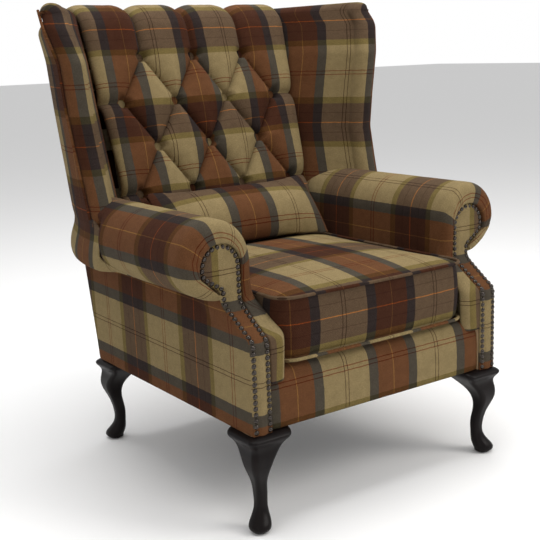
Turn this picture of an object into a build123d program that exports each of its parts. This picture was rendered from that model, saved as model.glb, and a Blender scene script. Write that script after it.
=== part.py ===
from build123d import *
from math import atan, atan2, cos, degrees, hypot, radians, sin, sqrt
import os

# A high-backed fireside chair on four curved legs, in millimetres. Depth is measured from the
# front of the arm fronts while the pieces are made, and the finished chair stands with the
# middle of its footprint on the origin: +X is the sitter's left, -Y the front, +Z up.

# Legs
leg_height = 203.0
knee_half = 42.8
ankle_half = 12.9
ankle_height = 72.0
pad_foot_half = 21.8
foot_reach = 37.7
knee_inset = 42.0
rear_knee_inset = 46.0
leg_bolt_radius = 4.0
leg_bolt_in_leg = 45.0
glide_radius = 13.0
glide_thickness = 3.0

# Seat box
base_half_front = 328.0
base_half_rear = 316.0
base_depth = 684.0
rear_rake = 0.208
cover_thickness = 6.0
rail_thickness = 28.0
rail_height = 97.0
side_rail_height = 105.0
front_rail_set_back = 14.0
back_rail_set_forward = 52.0
block_leg = 70.0
block_height = 60.0
dust_cover_thickness = 1.5
deck_thickness = 14.0
deck_front = 58.0

# Seat springs
spring_count = 5
spring_pitch = 96.0
spring_wire = 1.8
spring_half_width = 22.0
spring_bend = 15.0
clip_size = 18.0
clip_thickness = 2.0

# Arms
hip_height = 388.0
neck_height = 448.0
head_set_back = 87.0
facing_inner = 283.5
facing_thickness = 8.0
post_thickness = 30.0
head_centre_x = 330.5
head_centre_z = 519.0
head_radius = 46.5
head_turn_in = 25.0
neck_x = 333.0
neck_z = 473.5
roll_centre_x = 338.0
roll_centre_z = 533.0
roll_radius = 78.0
roll_front = 79.0
roll_front_round = 26.0
arm_inside = 262.0
arm_wall = 21.5
arm_rail_inner = 288.0
arm_rail_width = 20.0
arm_rail_height = 50.0
outside_arm_top = 452.0

# Nails along the arm fronts
nail_radius = 5.4
nail_rise = 4.2
nail_pitch = 11.4
nail_edge = 6.5

# Back
back_slope = 0.305
back_plane_height = 603.0
back_plane_depth = 587.0
back_plane_foot = 470.0
back_top = 1024.0
top_roll_start = 972.0
back_half_top = 286.0
back_cover_thickness = 12.0
back_post_inner = 274.0
back_post_depth = 45.0
back_frame_top = 985.0
back_rail_height = 55.0
webbing_width = 50.0
webbing_thickness = 2.5
upright_straps = 5
upright_strap_pitch = 96.0
cross_straps = 4
first_cross_strap = 90.0
cross_strap_pitch = 140.0

# Tufting of the inside back
button_rows = 5
button_pitch = 71.0
row_pitch = 107.7
rows_below = 1
button_radius = 11.5
button_thickness = 6.0
pit_depth = 30.0
pit_floor_radius = 12.5
pit_mouth_radius = 40.0
pleat_depth = 17.0
pleat_half_width = 33.0

# Wings: height, reach from the middle and set-back of the piped front edge
wing_edge = [
    (574.0, 401.0, 470.0),
    (633.0, 403.0, 486.0),
    (716.0, 407.0, 507.0),
    (801.0, 418.0, 509.0),
    (902.0, 429.0, 505.0),
    (971.0, 446.0, 526.0),
    (1010.0, 441.0, 556.0),
    (1026.0, 424.0, 592.0),
]
wing_foot = 470.0
wing_lip = 18.0
wing_panel = 7.0
wing_roll_width = 52.0
wing_roll_front = 16.0
wing_roll_inner = 26.0
wing_inner_swell = 8.0
wing_board = 18.0
wing_seam_back = 8.0
wing_frame_set_back = 34.0
wing_window_rim = 42.0
crease_low_z = 594.0
crease_low_y = 628.0
crease_slope = 0.218
piping_radius = 3.0
piping_stand_off = 1.2

# Seat cushion
cushion_half_width = 246.0
cushion_front = 14.0
cushion_back_space = 4.4
cushion_draw_in = 5.0
cushion_corner = 42.0
seam_low = 9.0
seam_high = 133.0
cushion_crown = 15.0
wall_swell = 5.0
cushion_piping_radius = 3.5
zip_half_length = 215.0
zip_tape_height = 26.0
zip_tape_thickness = 2.0
zip_coil = 5.0
zip_pocket_depth = 11.0
slider_length = 12.0
slider_height = 10.0
slider_depth = 5.5

# Lumbar cushion
lumbar_half_width = 226.0
lumbar_half_height = 100.0
lumbar_half_thickness = 50.0
lumbar_draw_in = 20.0
lumbar_lean = 41.0
lumbar_middle_y = 511.0
lumbar_middle_z = 536.5

# Clearances
seat_gap = 0.3
running_gap = 0.4
far = 1500.0

deck_top = leg_height + side_rail_height + deck_thickness
post_back = facing_thickness + post_thickness
head_post_back = head_set_back + post_back
cushion_foot = deck_top + seat_gap
back_half_foot = roll_centre_x - roll_radius - 2 * seat_gap
back_post_outer = base_half_rear - wing_panel - 2 * seat_gap


# --- shared helpers -------------------------------------------------------------------------

def rear_at(height):
    """Depth of the raked rear face at a height."""
    return base_depth + rear_rake * (height - leg_height)


def side_at(depth):
    """Half-width of the seat box at a depth: it narrows a little to the rear."""
    return base_half_front - (base_half_front - base_half_rear) * depth / base_depth


def front_plane_at(height):
    """Depth of the padded front of the inside back at a height."""
    return back_plane_depth + back_slope * (height - back_plane_height)


def front_view(curves, start, end):
    """Closed outline of (x, z) points, solid from one depth to another."""
    face = Plane.XZ.offset(-start) * make_face(curves)
    return extrude(face, amount=end - start, dir=(0, 1, 0))


def side_view(curves, start, end):
    """Closed outline of (depth, z) points, solid from one x to another."""
    face = Plane.YZ.offset(start) * make_face(curves)
    return extrude(face, amount=end - start, dir=(1, 0, 0))


def plan_view(curves, low, high):
    """Closed outline of (x, depth) points, solid from one height to another."""
    face = Plane.XY.offset(low) * make_face(curves)
    return extrude(face, amount=high - low, dir=(0, 0, 1))


def block(x0, x1, y0, y1, z0, z1):
    return Pos(x0, y0, z0) * Box(x1 - x0, y1 - y0, z1 - z0, align=(Align.MIN, Align.MIN, Align.MIN))


def polygon(*points):
    return Polyline(*points, close=True)


def before_rear(inset):
    """Everything in front of the raked rear face, less an inset."""
    low, high = 0.0, 1200.0
    return side_view(
        polygon((-far, low), (rear_at(low) - inset, low), (rear_at(high) - inset, high), (-far, high)),
        -far,
        far,
    )


def raked_slab(near, away, low, high, x0, x1):
    """A slab that follows the rake, between two distances in from the rear face."""
    return side_view(
        polygon(
            (rear_at(low) - near, low),
            (rear_at(low) - away, low),
            (rear_at(high) - away, high),
            (rear_at(high) - near, high),
        ),
        x0,
        x1,
    )


def arm_front_line(inset):
    """The stepped arm front from the side, moved in square to itself by an inset."""
    y, drop = inset, -inset / 2
    low = (y, hip_height - 14 + drop)
    bend_low = (y + 3, hip_height + drop)
    start_slope = (y + 16, hip_height + 9 + drop)
    end_slope = (head_set_back + y - 14, neck_height - 12 + drop)
    bend_high = (head_set_back + y - 3, neck_height - 2 + drop)
    high = (head_set_back + y, neck_height + 14 + drop)
    return [
        Line((y, 0), low),
        ThreePointArc(low, bend_low, start_slope),
        Line(start_slope, end_slope),
        ThreePointArc(end_slope, bend_high, high),
        Line(high, (head_set_back + y, far)),
    ]


def behind_arm_front(inset):
    """Everything behind the stepped arm front, moved in by an inset."""
    edges = arm_front_line(inset) + [
        Line((head_set_back + inset, far), (far, far)),
        Line((far, far), (far, 0)),
        Line((far, 0), (inset, 0)),
    ]
    return side_view(edges, -far, far)


def both_sides(shape):
    """The same piece for the +X side and the -X side."""
    return {"left": shape, "right": mirror(shape, about=Plane.YZ)}


# --- legs -------------------------------------------------------------------------------------

def leg_section(height, reach, half, rounding):
    """A rounded square, its corner along the leg's diagonal, at one height."""
    return Plane.XY.offset(height) * Pos(reach, 0) * Rot(0, 0, 45) * RectangleRounded(
        2 * half, 2 * half, rounding * half
    )


def leg():
    """A cabriole leg that reaches out along +X, its knee centre over the origin."""
    sections = [
        leg_section(glide_thickness, foot_reach - 1.8, pad_foot_half - 4.2, 0.92),
        leg_section(glide_thickness + 9, foot_reach, pad_foot_half, 0.92),
        leg_section(26, foot_reach - 7.4, pad_foot_half - 2.6, 0.9),
        leg_section(46, foot_reach - 15.0, ankle_half + 0.5, 0.85),
        leg_section(ankle_height, foot_reach - 15.6, ankle_half, 0.75),
        leg_section(105, foot_reach - 7.4, ankle_half + 1.6, 0.6),
        leg_section(135, foot_reach - 2.4, ankle_half + 9.3, 0.5),
        leg_section(160, foot_reach - 13.6, knee_half - 13.0, 0.4),
        leg_section(182, foot_reach - 27.1, knee_half - 1.7, 0.3),
        leg_section(leg_height, foot_reach - 40.8, knee_half, 0.25),
    ]
    bore = Pos(0, 0, leg_height - leg_bolt_in_leg) * Cylinder(
        leg_bolt_radius, leg_bolt_in_leg, align=(Align.CENTER, Align.CENTER, Align.MIN)
    )
    return loft(sections) - bore


def leg_places():
    """Knee centre and outward turn of each leg."""
    front_x = base_half_front - knee_inset
    rear_x = base_half_rear - rear_knee_inset
    rear_y = base_depth - rear_knee_inset
    return {
        "front_left_leg": Location((front_x, knee_inset, 0), (0, 0, -45)),
        "front_right_leg": Location((-front_x, knee_inset, 0), (0, 0, -135)),
        "rear_left_leg": Location((rear_x, rear_y, 0), (0, 0, 45)),
        "rear_right_leg": Location((-rear_x, rear_y, 0), (0, 0, 135)),
    }


def leg_bolt():
    """A plain bolt from the leg's top bore up into the frame above it."""
    return Pos(0, 0, leg_height - leg_bolt_in_leg) * Cylinder(
        leg_bolt_radius - 0.05,
        leg_bolt_in_leg + block_height - 10,
        align=(Align.CENTER, Align.CENTER, Align.MIN),
    )


def glide():
    disc = Cylinder(glide_radius, glide_thickness, align=(Align.CENTER, Align.CENTER, Align.MIN))
    return Pos(foot_reach, 0, 0) * disc


# --- wooden frame -----------------------------------------------------------------------------

def rear_post(bolts):
    post = raked_slab(
        back_cover_thickness + 1,
        back_cover_thickness + 1 + back_post_depth,
        leg_height,
        back_frame_top,
        back_post_inner,
        back_post_outer,
    )
    return post - bolts


def post_face():
    """Distance in from the rear face to the front of the rear posts."""
    return back_cover_thickness + 1 + back_post_depth


def side_strip(outer, inner, low, high):
    """A strip along the seat box's side, between two distances in from it."""
    return plan_view(
        polygon(
            (side_at(-20) - outer, -20),
            (side_at(900) - outer, 900),
            (side_at(900) - inner, 900),
            (side_at(-20) - inner, -20),
        ),
        low,
        high,
    )


def side_rail(bolts):
    inner = cover_thickness + rail_thickness
    strip = side_strip(cover_thickness, inner, leg_height, leg_height + side_rail_height)
    strip &= behind_arm_front(post_back)
    strip &= before_rear(post_face())
    return strip - bolts


def front_rail():
    return block(
        -facing_inner,
        facing_inner,
        front_rail_set_back,
        front_rail_set_back + rail_thickness,
        leg_height,
        leg_height + rail_height,
    )


def back_rail():
    rear = base_depth - back_rail_set_forward + rail_thickness
    return block(
        -back_post_inner,
        back_post_inner,
        rear - rail_thickness,
        rear,
        leg_height,
        leg_height + rail_height,
    )


def corner_block(front):
    """A three-sided block in the corner of two rails, over a leg."""
    if front:
        inner_y = front_rail_set_back + rail_thickness
        inner_x = side_at(inner_y + block_leg) - cover_thickness - rail_thickness
        points = ((inner_x, inner_y), (inner_x, inner_y + block_leg), (inner_x - block_leg, inner_y))
    else:
        inner_y = base_depth - back_rail_set_forward
        inner_x = back_post_inner
        points = ((inner_x, inner_y), (inner_x, inner_y - block_leg), (inner_x - block_leg, inner_y))
    return plan_view(polygon(*points), leg_height, leg_height + block_height)


def facing_outline():
    """The arm front seen from the front: a straight post that opens into a round head."""
    turn = radians(head_turn_in)
    top = (head_centre_x, head_centre_z + head_radius)
    inner = (head_centre_x - head_radius, head_centre_z)
    outer = (head_centre_x + head_radius * cos(turn), head_centre_z - head_radius * sin(turn))
    return [
        Line((facing_inner, leg_height), inner),
        ThreePointArc(inner, top, outer),
        Line(outer, (neck_x, neck_z)),
        Line((neck_x, neck_z), (base_half_front, hip_height)),
        Line((base_half_front, hip_height), (base_half_front, leg_height)),
        Line((base_half_front, leg_height), (facing_inner, leg_height)),
    ]


def facing_column():
    return front_view(facing_outline(), -40, 260)


def arm_facing(column):
    return column & (behind_arm_front(0) - behind_arm_front(facing_thickness))


def front_post(column, outside_arm):
    return (column & (behind_arm_front(facing_thickness) - behind_arm_front(post_back))) - outside_arm


def arm_rail():
    middle = head_centre_z - 4
    rail = block(
        arm_rail_inner,
        arm_rail_inner + arm_rail_width,
        head_post_back,
        far,
        middle - arm_rail_height / 2,
        middle + arm_rail_height / 2,
    )
    return rail & before_rear(post_face())


def back_cross_rail(low):
    return raked_slab(
        back_cover_thickness + 1,
        post_face(),
        low,
        low + back_rail_height,
        -back_post_inner,
        back_post_inner,
    )


# --- springs, webbing and lining --------------------------------------------------------------

def seat_spring():
    """A zig-zag spring: straight cross runs joined by half-round bends, front to back."""
    start = front_rail_set_back + rail_thickness / 2
    end = base_depth - back_rail_set_forward + rail_thickness / 2
    runs = 2 * round((end - start) / spring_bend / 2) + 1
    step = (end - start) / (runs - 1)
    reach = spring_half_width - step / 2
    edges = []
    for i in range(runs):
        y = start + i * step
        side = 1 if i % 2 == 0 else -1
        begin = -side * reach if i else 0
        finish = side * reach if i < runs - 1 else 0
        edges.append(Line((begin, y), (finish, y)))
        if i < runs - 1:
            edges.append(
                ThreePointArc((finish, y), (finish + side * step / 2, y + step / 2), (finish, y + step))
            )
    path = Wire(edges)
    section = Plane(origin=(0, start, 0), x_dir=(0, 1, 0), z_dir=(1, 0, 0)) * Circle(spring_wire)
    height = leg_height + rail_height + clip_thickness + spring_wire + running_gap
    return Pos(0, 0, height) * sweep(section, path=path)


def spring_clip():
    """A folded strap that holds the spring's end run on the rail."""
    hole = spring_wire + running_gap / 2
    outer = hole + clip_thickness
    body = block(-clip_size / 2, clip_size / 2, -outer, outer, 0, 2 * outer)
    bore = Pos(0, 0, outer) * Rot(0, 90, 0) * Cylinder(hole, clip_size * 2)
    tongue = block(-clip_size / 2, clip_size / 2, -outer, rail_thickness / 2 - 2, 0, clip_thickness)
    mouth = block(-clip_size, clip_size, -outer * 2, 0, outer - 0.6, outer + 0.6)
    return (body + tongue) - bore - mouth


def spring_places():
    middle = (spring_count - 1) / 2
    return [(i - middle) * spring_pitch for i in range(spring_count)]


def seat_springs():
    one = seat_spring()
    return [Pos(x, 0, 0) * one for x in spring_places()]


def spring_clips():
    one = spring_clip()
    height = leg_height + rail_height
    front = front_rail_set_back + rail_thickness / 2
    back = base_depth - back_rail_set_forward + rail_thickness / 2
    clips = []
    for x in spring_places():
        clips.append(Pos(x, front, height) * Rot(0, 0, 180) * one)
        clips.append(Pos(x, back, height) * one)
    return clips


def seat_deck():
    rear = base_depth - back_rail_set_forward
    half = side_at(rear) - cover_thickness - rail_thickness / 2
    return block(-half, half, deck_front + seat_gap, rear, deck_top - deck_thickness, deck_top)


def dust_cover():
    """The thin cloth under the seat, cut away round the legs."""
    knee_corner = knee_half * sqrt(2) + 1
    half = side_at(base_depth) - cover_thickness - 4
    front = front_rail_set_back
    rear = base_depth - rear_knee_inset
    sheet = block(-half, half, front, rear, leg_height - dust_cover_thickness, leg_height)
    for side in (-1, 1):
        for depth, size in ((front, knee_inset + knee_corner), (rear, rear_knee_inset + knee_corner)):
            cut = 2 * (size - 10)
            sheet -= Pos(side * half, depth, leg_height) * Box(cut, cut, 20)
    return sheet


def back_webbing():
    """Upright straps over cross straps, in front of the back frame."""
    low = deck_top + seat_gap
    high = back_frame_top
    half = webbing_width / 2
    near = post_face()
    away = near + webbing_thickness
    straps = []
    for i in range(upright_straps):
        x = (i - (upright_straps - 1) / 2) * upright_strap_pitch
        straps.append(raked_slab(near, away, low, high, x - half, x + half))
    near, away = away, away + webbing_thickness
    reach = back_half_foot - 4
    for i in range(cross_straps):
        z = low + first_cross_strap + i * cross_strap_pitch
        straps.append(raked_slab(near, away, z, z + webbing_width, -reach, reach))
    return straps


# --- arm upholstery ---------------------------------------------------------------------------

def outside_arm():
    strip = side_strip(0, cover_thickness, leg_height, outside_arm_top)
    strip &= behind_arm_front(facing_thickness)
    return strip & before_rear(back_cover_thickness + seat_gap)


def arm_roll(grow, start):
    """The round arm top, from a depth back to the rear posts."""
    roll = Pos(roll_centre_x, start, roll_centre_z) * Rot(-90, 0, 0) * Cylinder(
        roll_radius + grow, far / 2, align=(Align.CENTER, Align.CENTER, Align.MIN)
    )
    return roll


def arm_pad(column, rail, outside_arm_panel):
    roll = arm_roll(0, roll_front)
    roll = fillet(roll.edges().sort_by(Axis.Y)[0], roll_front_round)
    wall = block(arm_inside, arm_inside + arm_wall, -40, far, deck_top, roll_centre_z)
    wall &= behind_arm_front(2)
    pad = (roll + wall) & before_rear(post_face())
    pocket = column - behind_arm_front(post_back)
    return pad - pocket - rail - outside_arm_panel - outside_wing_space()


def nail_dome():
    """A shallow domed nail head, flat underneath."""
    edges = [
        Line((0, 0), (nail_radius, 0)),
        RadiusArc((nail_radius, 0), (0, nail_rise), -(nail_radius**2 + nail_rise**2) / (2 * nail_rise)),
        Line((0, nail_rise), (0, 0)),
    ]
    return revolve(Plane.XZ * make_face(edges), axis=Axis.Z)


def nail_line():
    """The nail line, a nail's edge distance inside the arm front's outline, open at the foot."""
    turn = radians(head_turn_in)
    radius = head_radius - nail_edge
    foot = leg_height + nail_edge
    inner_foot = (facing_inner + nail_edge, foot)
    inner = (head_centre_x - radius, head_centre_z)
    top = (head_centre_x, head_centre_z + radius)
    outer = (head_centre_x + radius * cos(turn), head_centre_z - radius * sin(turn))
    kink = (neck_x - nail_edge, neck_z + nail_edge / 2)
    hip = (base_half_front - nail_edge, hip_height)
    outer_foot = (base_half_front - nail_edge, foot)
    return Wire(
        [
            Line(inner_foot, inner),
            ThreePointArc(inner, top, outer),
            Line(outer, kink),
            Line(kink, hip),
            Line(hip, outer_foot),
        ]
    )


def arm_front_at(front, height):
    """Depth of the stepped arm front at a height, and how far its surface leans back."""
    low, high = 0.0, 1.0
    if height <= (front @ low).Y:
        return (front @ low).X, 0.0
    if height >= (front @ high).Y:
        return (front @ high).X, 0.0
    while high - low > 1e-4:
        middle = (low + high) / 2
        if (front @ middle).Y < height:
            low = middle
        else:
            high = middle
    run = front % low
    return (front @ low).X, degrees(atan2(run.X, run.Y))


def facing_nails():
    """Domed nails, a pitch apart along the arm front's surface."""
    front = Wire(arm_front_line(0)[1:4])
    line = nail_line()
    dome = nail_dome()
    samples = 900
    points = []
    for i in range(samples + 1):
        place = line @ (i / samples)
        points.append(Vector(place.X, arm_front_at(front, place.Y)[0], place.Y))
    nails = []
    walked = nail_pitch
    for previous, here in zip(points, points[1:]):
        walked += (here - previous).length
        if walked >= nail_pitch:
            walked = 0.0
            lean = arm_front_at(front, here.Z)[1]
            nails.append(Location((here.X, here.Y, here.Z), (90 - lean, 0, 0)) * dome)
    return nails


def front_border():
    """The padded front under the cushion: it swells forward and rolls over the front rail."""
    front = front_rail_set_back
    middle = (leg_height + deck_top) / 2
    edges = [
        Line((front, leg_height), (front - 6, leg_height)),
        ThreePointArc((front - 6, leg_height), (front - 11, middle), (front - 1, deck_top - 12)),
        ThreePointArc((front - 1, deck_top - 12), (front + 5.6, deck_top - 3.4), (front + 16, deck_top)),
        Line((front + 16, deck_top), (deck_front, deck_top)),
        Line((deck_front, deck_top), (deck_front, deck_top - deck_thickness)),
        Line((deck_front, deck_top - deck_thickness), (front, deck_top - deck_thickness)),
        Line((front, deck_top - deck_thickness), (front, leg_height)),
    ]
    half = facing_inner - seat_gap
    return side_view(edges, -half, half)


# --- back upholstery --------------------------------------------------------------------------

def back_local():
    """A plane on the padded front of the inside back: x across, y up the slope, z outwards."""
    angle = atan(back_slope)
    return Plane(
        origin=(0, back_plane_depth, back_plane_height),
        x_dir=(1, 0, 0),
        z_dir=(0, -cos(angle), sin(angle)),
    )


def button_grid():
    """Button places on the back's plane, row by row from the top: three, then four, and so on."""
    rows = []
    for i in range(button_rows):
        up = (button_rows - 1 - rows_below - i) * row_pitch
        count = 3 if i % 2 == 0 else 4
        rows.append([((j - (count - 1) / 2) * 2 * button_pitch, up) for j in range(count)])
    return rows


def pleat_lines():
    """Folds from button to button, up over the top, down to the seat and out to the wings."""
    rows = button_grid()
    lines = []
    for upper, lower in zip(rows, rows[1:]):
        for a in upper:
            for b in lower:
                if abs(a[0] - b[0]) < 1.5 * button_pitch:
                    lines.append((a, b))
    for x, up in rows[0]:
        lines.append(((x, up), (x, up + 95)))
    for x, up in rows[-1]:
        lines.append(((x, up), (x, up - 60)))
    for row in rows[1::2]:
        for x, up in (row[0], row[-1]):
            lines.append(((x, up), (x + (80 if x > 0 else -80), up)))
    return lines


def pleat_cutter(start, end):
    """A groove between two round-shouldered pillows, along a fold."""
    local = back_local()
    a = local.from_local_coords(Vector(start[0], start[1], 0))
    b = local.from_local_coords(Vector(end[0], end[1], 0))
    along = (b - a).normalized()
    across = local.z_dir.cross(along)
    w, d = pleat_half_width, pleat_depth
    shoulder = 0.42
    edges = [
        ThreePointArc((0, -d), (w * shoulder, -d * 0.22), (w, 0.5)),
        Line((w, 0.5), (w, 8)),
        Line((w, 8), (-w, 8)),
        Line((-w, 8), (-w, 0.5)),
        ThreePointArc((-w, 0.5), (-w * shoulder, -d * 0.22), (0, -d)),
    ]
    face = Plane(origin=a, x_dir=across, z_dir=along) * make_face(edges)
    return extrude(face, amount=(b - a).length, dir=along)


def pit_cutter():
    edges = [
        Line((0, 8), (0, -pit_depth)),
        Line((0, -pit_depth), (pit_floor_radius, -pit_depth)),
        ThreePointArc(
            (pit_floor_radius, -pit_depth),
            (pit_floor_radius + 0.3 * (pit_mouth_radius - pit_floor_radius), -pit_depth * 0.34),
            (pit_mouth_radius, 0.5),
        ),
        Line((pit_mouth_radius, 0.5), (pit_mouth_radius, 8)),
        Line((pit_mouth_radius, 8), (0, 8)),
    ]
    return revolve(Plane.XZ * make_face(edges), axis=Axis.Z)


def back_body():
    """The inside back before tufting: a wedge of padding that rolls over the top rail."""
    foot = deck_top + seat_gap
    inset = post_face() + 2 * webbing_thickness + seat_gap
    shoulder = back_frame_top + 1
    front_foot = front_plane_at(back_plane_foot)
    front_top = (front_plane_at(top_roll_start), top_roll_start)
    rear_top = (rear_at(shoulder) - back_cover_thickness - seat_gap, shoulder)
    crown = ((front_top[0] + rear_top[0]) / 2, back_top)
    edges = [
        Line((front_foot, foot), (front_foot, back_plane_foot)),
        Line((front_foot, back_plane_foot), front_top),
        ThreePointArc(front_top, crown, rear_top),
        Line(rear_top, (rear_at(shoulder) - inset, shoulder)),
        Line((rear_at(shoulder) - inset, shoulder), (rear_at(foot) - inset, foot)),
        Line((rear_at(foot) - inset, foot), (front_foot, foot)),
    ]
    slab = side_view(edges, -far, far)
    outline = polygon(
        (-back_half_foot, 0),
        (back_half_foot, 0),
        (back_half_foot, crease_low_z),
        (back_half_top, back_top),
        (back_half_top, far),
        (-back_half_top, far),
        (-back_half_top, back_top),
        (-back_half_foot, crease_low_z),
    )
    return slab & front_view(outline, -far, far)


def inside_back():
    """The padded inside back with its buttoned pits, folds and notched top."""
    local = back_local()
    pit = pit_cutter()
    cutters = [pleat_cutter(a, b) for a, b in pleat_lines()]
    for row in button_grid():
        for x, up in row:
            cutters.append(local * Pos(x, up, 0) * pit)
    w, d = pleat_half_width / 2, pleat_depth / 2
    for x, _ in button_grid()[0]:
        notch = [
            ThreePointArc((x, back_top - d), (x + w * 0.4, back_top - d * 0.25), (x + w, back_top + 1)),
            Line((x + w, back_top + 1), (x - w, back_top + 1)),
            ThreePointArc((x - w, back_top + 1), (x - w * 0.4, back_top - d * 0.25), (x, back_top - d)),
        ]
        cutters.append(front_view(notch, front_plane_at(back_top) - 20, rear_at(back_top)))
    return back_body() - cutters


def back_buttons():
    """Domed cloth buttons on the pit floors."""
    cap = Cylinder(button_radius, button_thickness, align=(Align.CENTER, Align.CENTER, Align.MIN))
    cap = fillet(cap.edges().sort_by(Axis.Z)[-1], button_thickness * 0.6)
    local = back_local()
    return [local * Pos(x, up, -pit_depth) * cap for row in button_grid() for x, up in row]


def outside_back():
    top = back_frame_top + 14
    return raked_slab(0, back_cover_thickness, leg_height, top, -base_half_rear, base_half_rear)


# --- wings ------------------------------------------------------------------------------------

def crease_at(height):
    """Where the wing's inside meets the inside back."""
    share = (height - crease_low_z) / (back_top - crease_low_z)
    share = min(1.0, max(0.0, share))
    x = back_half_foot + (back_half_top - back_half_foot) * share
    return x + seat_gap, crease_low_y + crease_slope * (height - crease_low_z)


def outside_wing_rows():
    """The wing's outline stations with its foot: height, reach, set-back and lip."""
    low_height, reach, set_back = wing_edge[0]
    rows = [
        (wing_foot, reach, set_back, wing_lip * 0.5),
        (wing_foot + 14, reach, set_back, wing_lip),
        (wing_foot + 50, reach, set_back, wing_lip * 0.7),
        (low_height, reach, set_back, 0.0),
    ]
    return rows + [(height, out, back, 0.0) for height, out, back in wing_edge[1:]]


def wing_inside_x(height, reach, set_back, depth):
    """How far out the outside wing's inner face stands at a depth."""
    front_y = set_back + wing_seam_back
    rear_y = rear_at(height) - back_cover_thickness - seat_gap
    share = (depth - front_y) / (rear_y - front_y)
    return reach - wing_panel + (base_half_rear - reach) * share


def stack(sections):
    """Joins sections one above the other with straight sides."""
    solid = loft(sections[:2], ruled=True)
    for lower, upper in zip(sections[1:], sections[2:]):
        solid += loft([lower, upper], ruled=True)
    return solid


def outside_wing_space():
    """The outside wing's place, with a small gap inside it, and all beyond it."""
    sections = []
    for height, reach, set_back, _ in outside_wing_rows():
        front_y = set_back + wing_seam_back
        rear_y = rear_at(height)
        front_x = wing_inside_x(height, reach, set_back, front_y) - seat_gap
        rear_x = wing_inside_x(height, reach, set_back, rear_y) - seat_gap
        points = ((front_x, front_y), (far, front_y), (far, rear_y), (rear_x, rear_y))
        sections.append(Plane.XY.offset(height) * make_face(polygon(*points)))
    return stack(sections)


def wing_section(height, reach, set_back):
    """Plan outline of the wing's padding: rolled front edge, swelling inside, flat outside."""
    rear_y = rear_at(height) - back_cover_thickness - seat_gap
    tuck = wing_panel + seat_gap
    crease = crease_at(height)
    seam_in = (reach - tuck, set_back + wing_seam_back)
    seam_out = (reach, set_back + wing_seam_back - seat_gap)
    nose = (reach - 0.42 * wing_roll_width, set_back - wing_roll_front)
    inner = (reach - wing_roll_width, set_back + wing_roll_inner)
    dx, dy = crease[0] - inner[0], crease[1] - inner[1]
    length = hypot(dx, dy)
    middle = (
        (inner[0] + crease[0]) / 2 - wing_inner_swell * dy / length,
        (inner[1] + crease[1]) / 2 + wing_inner_swell * dx / length,
    )
    rear_outer = (base_half_rear - tuck, rear_y)
    rear_inner = (crease[0] + 6, rear_y)
    edges = [
        Line(seam_in, seam_out),
        ThreePointArc(seam_out, nose, inner),
        ThreePointArc(inner, middle, crease),
        Line(crease, rear_inner),
        Line(rear_inner, rear_outer),
        Line(rear_outer, seam_in),
    ]
    return Plane.XY.offset(height) * make_face(edges)


def wing_pad(frame, post, piping_space):
    body = loft([wing_section(*row) for row in wing_edge])
    return body - outside_wing_space() - arm_roll(seat_gap, 0) - frame - post - piping_space


def outside_wing():
    """The flat outside of the wing, which ends in a rounded lip over the outside arm."""
    sections = []
    for height, reach, set_back, lip in outside_wing_rows()[:-1]:
        front_y = set_back + wing_seam_back
        rear_y = rear_at(height) - back_cover_thickness - seat_gap
        points = (
            (reach - wing_panel, front_y),
            (reach + lip * 0.4, front_y),
            (base_half_rear + lip, rear_y),
            (base_half_rear - wing_panel, rear_y),
        )
        sections.append(Plane.XY.offset(height) * make_face(polygon(*points)))
    return stack(sections)


def wing_frame(post):
    """The wing's wooden outline: an upright, a top and a foot round an open middle."""
    rows = wing_edge[1:-2]
    sections = []
    for height, reach, set_back in rows:
        front_y = set_back + wing_frame_set_back
        rear_y = rear_at(height) - post_face() + back_post_depth / 2
        front_x = wing_inside_x(height, reach, set_back, front_y) - 2 * seat_gap
        rear_x = wing_inside_x(height, reach, set_back, rear_y) - 2 * seat_gap
        points = (
            (front_x - wing_board, front_y),
            (front_x, front_y),
            (rear_x, rear_y),
            (rear_x - wing_board, rear_y),
        )
        sections.append(Plane.XY.offset(height) * make_face(polygon(*points)))
    low = rows[0][0] + wing_window_rim
    high = rows[-1][0] - wing_window_rim
    front_y = max(row[2] for row in rows) + wing_frame_set_back + wing_window_rim
    rear_inset = post_face() + wing_window_rim / 2
    window = side_view(
        polygon(
            (front_y, low),
            (rear_at(low) - rear_inset, low),
            (rear_at(high) - rear_inset, high),
            (front_y, high),
        ),
        arm_inside,
        far / 2,
    )
    return stack(sections) - window - post


def wing_piping(radius):
    """The piped cord on the seam between the rolled edge and the outside wing."""
    out = piping_radius + piping_stand_off
    points = [(reach + out, set_back + wing_seam_back, height) for height, reach, set_back in wing_edge[:-1]]
    path = FilletPolyline(*points, radius=60)
    section = Plane(origin=path @ 0, z_dir=path % 0) * Circle(radius)
    return sweep(section, path=path) - arm_roll(seat_gap, 0)


# --- loose cushions ---------------------------------------------------------------------------

def cushion_rear():
    """Depth of the seat cushion's rear seams: just in front of the padded back."""
    return front_plane_at(back_plane_foot) - wall_swell - cushion_back_space


def cushion_outline(inset, height):
    """The seat cushion seen from above: four slightly drawn-in sides and round corners."""
    half = cushion_half_width - inset
    front = cushion_front + inset
    rear = cushion_rear() - inset
    middle = (front + rear) / 2
    pull = cushion_draw_in
    edges = [
        ThreePointArc((-half, front), (0, front - pull), (half, front)),
        ThreePointArc((half, front), (half - pull, middle), (half, rear)),
        ThreePointArc((half, rear), (0, rear - pull), (-half, rear)),
        ThreePointArc((-half, rear), (-half + pull, middle), (-half, front)),
    ]
    face = make_face(edges)
    face = fillet(face.vertices(), max(cushion_corner - 0.3 * inset, 12))
    return Plane.XY.offset(height) * face


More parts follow.
